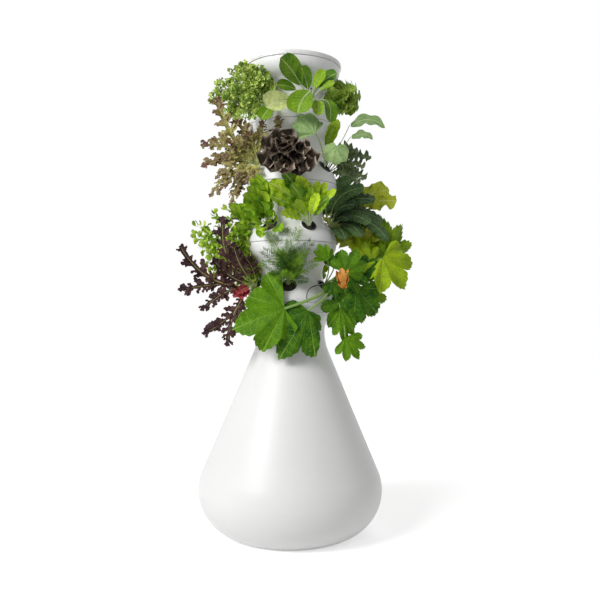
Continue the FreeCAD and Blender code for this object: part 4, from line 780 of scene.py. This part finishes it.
# %% Purple kale
PURPLE = {**FRILLED, "finishes": ["purple_kale_leaf", "dark_stalk"], "slot": "purple_leaf", "bow": 0.18}
LOOSE_FRILL = {**PURPLE, "cut": 0.35, "ruffle": 0.34, "waves": 6.0}
bunch("purple_kale_1", 2, 116, 23, (
    (130, -30, 15), (155, -10, 50), (135, -20, -25), (90, 0, 90), (65, -50, -20), (115, 40, 85),
    (110, 60, 20), (84, 90, 60), (96, 84, -16), (120, 50, -30)), 54, facing=(0.3, -0.7, 0.6), **LOOSE_FRILL)
bunch("purple_kale_2", 2, 176, 24, (15, 90, 150, -12, 70), 58, **PURPLE)

# %% Red mizuna
mizuna = Plant("red_mizuna_2", 2, -64, 25)
for reach, width, bow in (
    ((-128, -40, 200), 74, -0.08), ((-168, -50, 56), 62, 0.14), ((-166, -44, -6), 62, 0.14),
    ((-70, -30, 140), 62, 0.1), ((84, -114, 122), 50, 0.2), ((26, -108, 116), 50, 0.16),
    ((-30, -60, 92), 60, 0.14), ((-84, -60, 60), 60, 0.14), ((-120, -70, 10), 60, 0.14),
):
    mizuna.feather(reach, width, LIT_SIDE, bow=bow)
for reach in ((-30, -72, -56), (-4, -78, -44), (-56, -66, -40)):
    mizuna.feather(reach, 44, LIT_SIDE, tint=1.6)
mizuna.plant(["red_mizuna_leaf", "lime_stalk"], "purple_leaf")
mizuna = Plant("red_mizuna_1", 2, -124, 26)
for reach in (
    (-168, -60, -84), (-98, -80, -116), (-140, -70, -76), (-50, -90, -40), (-150, -20, -15),
    (-70, -80, -70), (-180, 0, 115), (-55, -40, 105), (-110, 60, 70), (-60, 110, 60), (-100, 70, -20),
    (-130, 20, 40),
):
    mizuna.feather(reach, 62, (-0.4, -0.6, 0.6), bow=0.2)
mizuna.plant(["red_mizuna_leaf", "lime_stalk"], "purple_leaf")

# %% [markdown]
# ## Third ring
# Romaine stands in the middle on pale ribs, basil to the left, blue-green lacinato kale to the right
# with an oak-leaf lettuce behind it, and a second lacinato at the back.

# %% Romaine
LONG = dict(ruffle=0.16, fold=0.24, rows=28, thick=5, thin=1.6)
romaine = Plant("romaine", 3, 26, 31)
for reach, width, tint in (
    ((-128, -52, 124), 62, 0.75), ((-86, -64, 158), 54, -0.1), ((-60, -68, 118), 50, 0.05),
    ((-40, -56, 146), 46, 0.9), ((-8, -50, 128), 40, 0.7), ((30, -58, 128), 34, 0.95),
    ((56, -56, 124), 34, 1), ((84, -56, 102), 30, 1.1), ((60, -72, 76), 44, 0.1),
    ((28, -88, 86), 34, 1.15), ((-88, -82, 22), 36, 0.7), ((-122, -60, 78), 44, 0.3),
    ((-46, -88, 62), 34, 0.5), ((10, -70, 110), 36, 0.35),
):
    romaine.leaf(reach, width, bow=0.12, facing=FRONT, stalk=0.28, tint=tint, **LONG)
romaine.plant(["romaine_leaf", "pale_stalk"])

# %% Lacinato kale
STRAP = dict(round_base=0.3, round_tip=0.3, ruffle=0.12, waves=9, fold=0.25, cup=-0.35, rows=36,
             thick=4.4, thin=1.8, finishes=["lacinato_leaf", "lime_stalk"])
bunch("lacinato_kale_1", 3, 86, 32, (
    (150, -20, 92), (192, -30, -45), (100, -60, -35), (70, 0, 165), (25, -30, 152), (145, 0, 40),
    (45, -70, -45), (110, 40, 135), (180, 30, 25), (80, -60, 70), (110, -40, 130), (60, -70, 20),
    (130, -50, 10), (96, 96, 66), (70, 112, 10), (120, 80, -24)),
    58, bow=0.26, facing=(0.2, -0.7, 0.6), **STRAP)
bunch("lacinato_kale_2", 3, 206, 33, (14, 110, 180, -18, 66), 50, bow=0.24, **STRAP)

# %% Oak-leaf lettuce
LOBED = dict(lobes=3.5, cut=0.45, ruffle=0.22, waves=5, rows=36, stalk=0.4, round_tip=0.3,
             round_base=0.7, thick=3.4, thin=1.4)
oak = Plant("oak_leaf_lettuce", 3, 146, 34)
for reach in (
    (286, -60, 100), (262, -50, 138), (214, -100, 8), (180, -110, -62), (120, -118, -60),
    (150, -116, -10), (190, -118, -30), (236, -100, -30), (60, 110, 60), (120, 80, 40), (20, 120, 20),
    (90, 60, 100),
):
    to_viewer = (0.2, -0.9, 0.3) if reach[1] < 0 else None
    oak.leaf(reach, 78, bow=0.12, facing=to_viewer, **LOBED)
oak.plant(["oak_leaf", "lime_stalk"])

# %% Basil
PLUMP = dict(round_tip=0.6, cup=0.35, rows=12, thick=1.8, thin=1.2, stalk=0.15)
for name, port, seed, reaches in (
    ("basil_1", -94, 35, ((-25, -40, 40), (-10, -60, -35), (-35, -20, 105), (5, -70, 70), (30, -90, -50),
        (-50, 0, 20), (-70, 30, 60), (-60, 40, -10), (-30, -30, 0), (-60, -30, 70), (-86, -40, 66),
        (-58, -60, -30), (-40, -70, 20), (-28, -70, -34))),
    ("basil_2", -34, 36, ((-5, -40, 40), (25, -50, 5), (-25, -60, -50), (-55, -50, 0), (40, -60, -30),
        (-30, -56, 100), (-10, -52, 134), (-46, -50, 120), (-25, -60, 65), (-60, -56, 50),
        (-52, -60, 76), (14, -60, 15), (-28, -80, -30), (-72, -56, 110), (-62, -56, 138),
        (-84, -60, 84), (-44, -60, 150), (-36, -48, 26), (-14, -54, 2))),
):
    basil = Plant(name, 3, port, seed)
    for reach in reaches:
        start = basil.shoot(0.45 * np.array(reach), 0.08, 2, 1.4)
        outer = tuple(0.55 * part for part in reach)
        basil.leaf(outer, 40, bow=0.16, facing=LIT_SIDE, start=start, **PLUMP)
        shorter = tuple(0.7 * part + basil.draw(-22, 22) for part in reach)
        basil.leaf(shorter, 30, bow=0.2, facing=LIT_SIDE, **{**PLUMP, "stalk": 0.5})
    basil.plant(["basil_leaf", "lime_stalk"])

# %% [markdown]
# ## Bottom ring
# Dill stands in front, fine as hair. A squash in the next port throws long stems both ways: two hand
# shaped leaves hang in front of the tank's neck, others fill the right side, and one flower is open.
# Mustard greens fill the right and the back, mixed herbs and purple mizuna the left.

# %% Dill
dill = Plant("dill", 4, -4, 41)
for reach in (
    (-65, -40, 165), (-15, -30, 185), (35, -35, 180), (80, -40, 140), (95, -45, 70), (-90, -40, 110),
    (-65, -50, 40), (65, -60, 10), (0, -60, 140), (40, -70, 95), (-40, -60, 105), (50, -80, 45),
    (-40, -70, 15), (10, -80, 110), (-20, -80, 80), (20, -84, 70), (60, -60, 110), (-90, -60, 70),
    (-10, -84, 40), (-30, -84, 60), (34, -84, 50), (0, -90, 84), (12, -86, 30), (-24, -80, 110),
    (44, -76, 78),
):
    dill.frond(reach)
dill.plant(["dill_leaf", "green_stalk"])

# %% A leaf like a hand
def hand_leaf(plant, foot, way, radius, sweep, tint, facing=(0.15, -1, 0.25),
              reach=(0.72, 0.9, 1, 0.9, 0.72), bend=None, thick=5, thin=4, **more):
    """A stem that leaves the crown along its port and curves round to foot, in millimetres, and a
    lobed leaf there. Way is where its middle lobe points: 0 is right and 90 is up."""
    foot = np.array(foot, float)
    port_axis = unit(plant.outward + 0.9 * np.array(UP))
    if bend is None:
        bend = 0.35 * foot + 0.3 * np.linalg.norm(foot) * port_axis
    path = plant.crown + curve(22, (0, 0, 0), bend, foot) * MM
    plant.stem(path, thick, thin, sides=8)
    ahead = (math.cos(math.radians(way)), -0.12, math.sin(math.radians(way)))
    plant.fan_leaf(path[-1], ahead, facing, radius, tint, reach=reach, sweep=sweep, droop=0.15, **more)


# %% Squash
squash = Plant("squash", 4, 56, 42)
SOFT = dict(deep=0.32, point=0.5, teeth=0.05, thick=4)
SHOOT = (40, -120, -20)  # how the two long stems bend, in millimetres
for foot, way, radius, sweep, tint, more in (
    ((-125, -104, -75), 200, 176, 106, 0.62,
     dict(reach=(0.5, 0.86, 1, 0.72, 0.78), bend=SHOOT, thick=11, thin=9, deep=0.24)),
    ((-52, -104, -80), 240, 180, 100, 0.12,
     dict(reach=(0.3, 0.84, 1, 0.8, 0.4), bend=SHOOT, thick=8, thin=6)),
    ((100, -62, -10), 268, 122, 118, 0.1, dict(thick=7)),
    ((60, -66, -52), 285, 104, 112, 0.3, dict(thick=7)),
    ((50, -74, -72), 280, 124, 58, 0.75, dict(reach=(0.35, 0.8, 1, 0.7, 0.35), thick=5)),
    ((66, -80, -164), 306, 84, 80, 0.85, {}),
    ((186, -44, 88), 312, 122, 112, 0.55, dict(ruffle=0.1, kind=4, thick=7)),
    ((66, -78, 40), 62, 84, 100, 0.45, dict(thick=5)),
    ((10, -62, 78), 118, 62, 70, 0.9, {}),
    ((30, -56, 56), 70, 58, 90, 0.1, {}),
    ((118, -52, 44), 40, 66, 100, -0.1, {}),
    ((24, -84, 8), 285, 54, 90, 0, {}),
    ((70, -66, 32), 345, 76, 100, 0, {}),
):
    hand_leaf(squash, foot, way, radius, sweep, tint, **{**SOFT, **more})

# %% [markdown]
# The open flower is five long petals round a deep cup. They start side by side on a narrow base and
# curl back at their tips. A thin near-black strand curls from the crown and holds on to nothing. It is
# painted shade: it stands for a thin dark line of leaf shadow above the squash's stem.

# %% Squash flower and a strand of painted shade
PETALS = 5
flower_base = squash.shoot((62, -96, -10), 0.2, 5, 4)
open_way = unit((-0.15, -0.45, 0.85))
beside_way = unit(np.cross(open_way, (1, 0, 0)))
third_way = np.cross(open_way, beside_way)
for i in range(PETALS):
    turn = 2 * math.pi * i / PETALS
    petal_way = math.cos(turn) * beside_way + math.sin(turn) * third_way
    petal = spine(flower_base, (open_way * 62 + petal_way * 20) * MM, -0.12)
    squash.blade(petal, 0.03, open_way * 0.3 - petal_way, squash.draw(0, 1), ruffle=0.16,
                 waves=2.5, rows=18, fold=0.3, round_base=0.5, round_tip=0.6, kind=2)
# Painted shade: a near-black strand that stands for a thin dark line of leaf shadow.
shade_strand_path = curve(24, (0, -20, 4), (-28, -96, -2), (-66, -90, -2), (-54, -92, -56))
squash.stem(squash.crown + shade_strand_path * MM, 4.5, 3, sides=8, kind=3)
squash.plant(["squash_leaf", "green_stalk", "squash_petal", "squash_tendril", "mustard_leaf"])

# %% Mustard greens
CRISP = dict(ruffle=0.15, deep=0.3, point=0.5, teeth=0.08)
BACK_LOOK = (0.6, 0.4, 0.6)
mustard = Plant("mustard_greens_1", 4, 116, 43)
for foot, way, radius, sweep, tint, *look in (
    ((205, -42, 98), 94, 146, 84, 0.05), ((150, -96, 84), 150, 78, 110, 0.5),
    ((110, -70, 108), 60, 74, 90, 0.9), ((196, -56, 96), 110, 66, 80, 0.1),
    ((150, -40, -14), 290, 78, 110, 0.1), ((124, -30, -44), 270, 84, 110, 0.2),
    ((130, 60, 70), 40, 104, 90, 0.5, BACK_LOOK), ((90, 90, -10), 340, 100, 90, 0.35, BACK_LOOK),
):
    hand_leaf(mustard, foot, way, radius, sweep, tint, *look, **CRISP)
mustard.plant(["mustard_leaf", "lime_stalk"])

mustard = Plant("mustard_greens_2", 4, 176, 44)
for foot, way, radius, sweep in (
    ((-50, 95, 55), 110, 85, 80), ((15, 112, 84), 90, 84, 90), ((60, 92, 45), 60, 82, 80),
    ((10, 120, -20), 265, 95, 110), ((-50, 95, -30), 235, 78, 95), ((60, 92, -30), 305, 78, 95),
):
    tint = mustard.draw(0, 1)
    hand_leaf(mustard, foot, way, radius, sweep, tint, (0, 0.9, 0.5), **CRISP)
mustard.plant(["mustard_leaf", "lime_stalk"])

# %% Mixed herbs
herbs = Plant("mixed_herbs", 4, -124, 45)
for reach in (
    (-235, -40, 205), (-172, -50, 242), (-120, -60, 262), (-226, -60, 160), (-206, -80, 122),
    (-186, -90, 74), (-146, -90, 196), (-98, -100, 208), (-62, -110, 160), (-42, -120, 112),
    (-28, -130, 58), (-16, -130, 20), (-76, -120, 126), (-110, -120, 166), (-124, -110, 122),
    (-160, -100, 150), (-180, -60, 36), (-62, -120, -10), (-60, -130, 80), (-96, -120, 60),
    (-40, -130, 90), (-76, -130, 40), (-90, -130, 100), (-120, -124, 84), (-30, -136, 130),
    (-140, -110, 110), (-50, -120, 150), (-80, -120, 178), (-100, -120, 144), (-60, -126, 190),
    (-38, -126, 168), (-204, -60, 184), (-190, -70, 140), (-216, -50, 128), (-176, -70, 108),
    (-234, -50, 170), (-60, 80, 120), (-20, 110, 60), (-100, 90, 40), (-60, 120, 20),
):
    herbs.sprig(reach, leaflets=32, small=21, narrow=0.8, ruffle=0.1, spread=0.22, bare=0.4)
herbs.plant(["herb_leaf", "lime_stalk"])

# %% Purple mizuna
plum = Plant("purple_mizuna", 4, -64, 46)
for reach, width, bow in (
    ((-104, -60, 212), 66, -0.2), ((-240, -60, 118), 70, -0.17), ((-239, -60, -18), 60, 0.04),
    ((-158, -70, -156), 60, -0.06), ((-86, -80, -190), 56, 0.14), ((-166, -66, -78), 56, 0.1),
    ((-128, -64, 70), 66, -0.1), ((-34, -60, 88), 46, 0.1), ((-70, -66, 120), 60, -0.1),
):
    plum.feather(reach, width, (-0.2, -0.9, 0.4), bow=bow)
for reach in ((-70, -70, -42), (-58, -72, -30), (-50, -70, -46)):
    plum.leaf(reach, 32, bow=0.1, facing=FRONT, stalk=0.4, tint=0.5, round_base=0.5, cup=0.3, ruffle=0.3,
              rows=20, kind=2)
plum.plant(["purple_mizuna_leaf", "lime_stalk", "blush_leaf"], "purple_leaf")

# %% [markdown]
# ## Floor, light and camera
# The tower stands on a pale floor in a white studio. One large soft lamp, high on the left, gives the
# tank its long fall from white to grey. A weak wide lamp on the right keeps that side open, and a
# third one lights the back. The background is full white only for the camera and in reflections, and
# lights the object weakly. The floor adds a glow to what it reflects, less near the tower, so that it
# comes near white and the soft shadow stays.

# %% Floor
GLOW_NEAR, GLOW_FAR = 0.525, 0.76
NEAR, FAR = 0.42, 1.9  # metres from the tower's axis
bpy.ops.mesh.primitive_plane_add(size=14)
floor = bpy.context.object
floor.name = "studio_floor"
ground = Finish("pale_floor")
speckle = ground.clouds(3.0)
seen = ground.node("LightPath")
distance = ground.node("VectorMath", {"operation": "LENGTH"}, {0: ground.place()}, output=1)
own_light = ground.blend((GLOW_NEAR,) * 3, (GLOW_FAR,) * 3, distance.rise(NEAR, FAR))
glow = ground.blend((0.0, 0.0, 0.0), own_light, seen + seen.other("Is Glossy Ray"))
floor.data.materials.append(ground.close(
    Base_Color=ground.blend((0.90, 0.90, 0.90), (0.92, 0.92, 0.92), speckle), Roughness=0.9,
    Emission_Color=glow, Emission_Strength=1.0, Specular_IOR_Level=0.0))

# %% White surroundings
SKY_LIGHT = 0.27
SKY_SEEN = 1.0
world = bpy.data.worlds.new("studio")
scene.world = world
sky = Nodes(world)
seen = sky.node("LightPath")
either = seen.sum("MAXIMUM", seen.other("Is Glossy Ray"))
strength = sky.node("MapRange", values={"To Min": SKY_LIGHT, "To Max": SKY_SEEN, "Value": either})
background = sky.tree.nodes["Background"]
sky.feed(background.inputs["Color"], (1, 1, 1))
sky.feed(background.inputs["Strength"], strength)


# %% Lamps
def lamp(name, place, aim, size, power):
    """A round soft lamp. Size is its width in metres and power is in watts."""
    light = bpy.data.lights.new(name, "AREA")
    light.shape = "DISK"
    light.size = size
    light.energy = power
    item = add(name, light)
    item.location = place
    item.rotation_euler = (Vector(aim) - Vector(place)).to_track_quat("-Z", "Y").to_euler()


lamp("key", (-2.6, -2.5, 2.7), (0, 0, 0.75), 1.8, 118)
lamp("right_fill", (3.2, -0.6, 1.3), (0, 0, 0.6), 2.0, 5.5)
lamp("back_fill", (0.6, 3.4, 2.2), (0, 0, 0.8), 2.4, 30)

# %% [markdown]
# The camera stands at half the tower's height, looks almost level and is rolled like the photograph.

# %% Camera
camera_data = bpy.data.cameras.new("camera")
camera_data.lens = 42.0
camera_data.sensor_width = 36.0
camera = add("camera", camera_data)
camera.location = (0.028, -2.354, 0.76)
camera.rotation_mode = "XYZ"
camera.rotation_euler = (math.radians(90.18), 0.0, 0.0)
camera.rotation_euler.rotate_axis("Z", 0.0075)
scene.camera = camera
scene.view_settings.view_transform = "Standard"
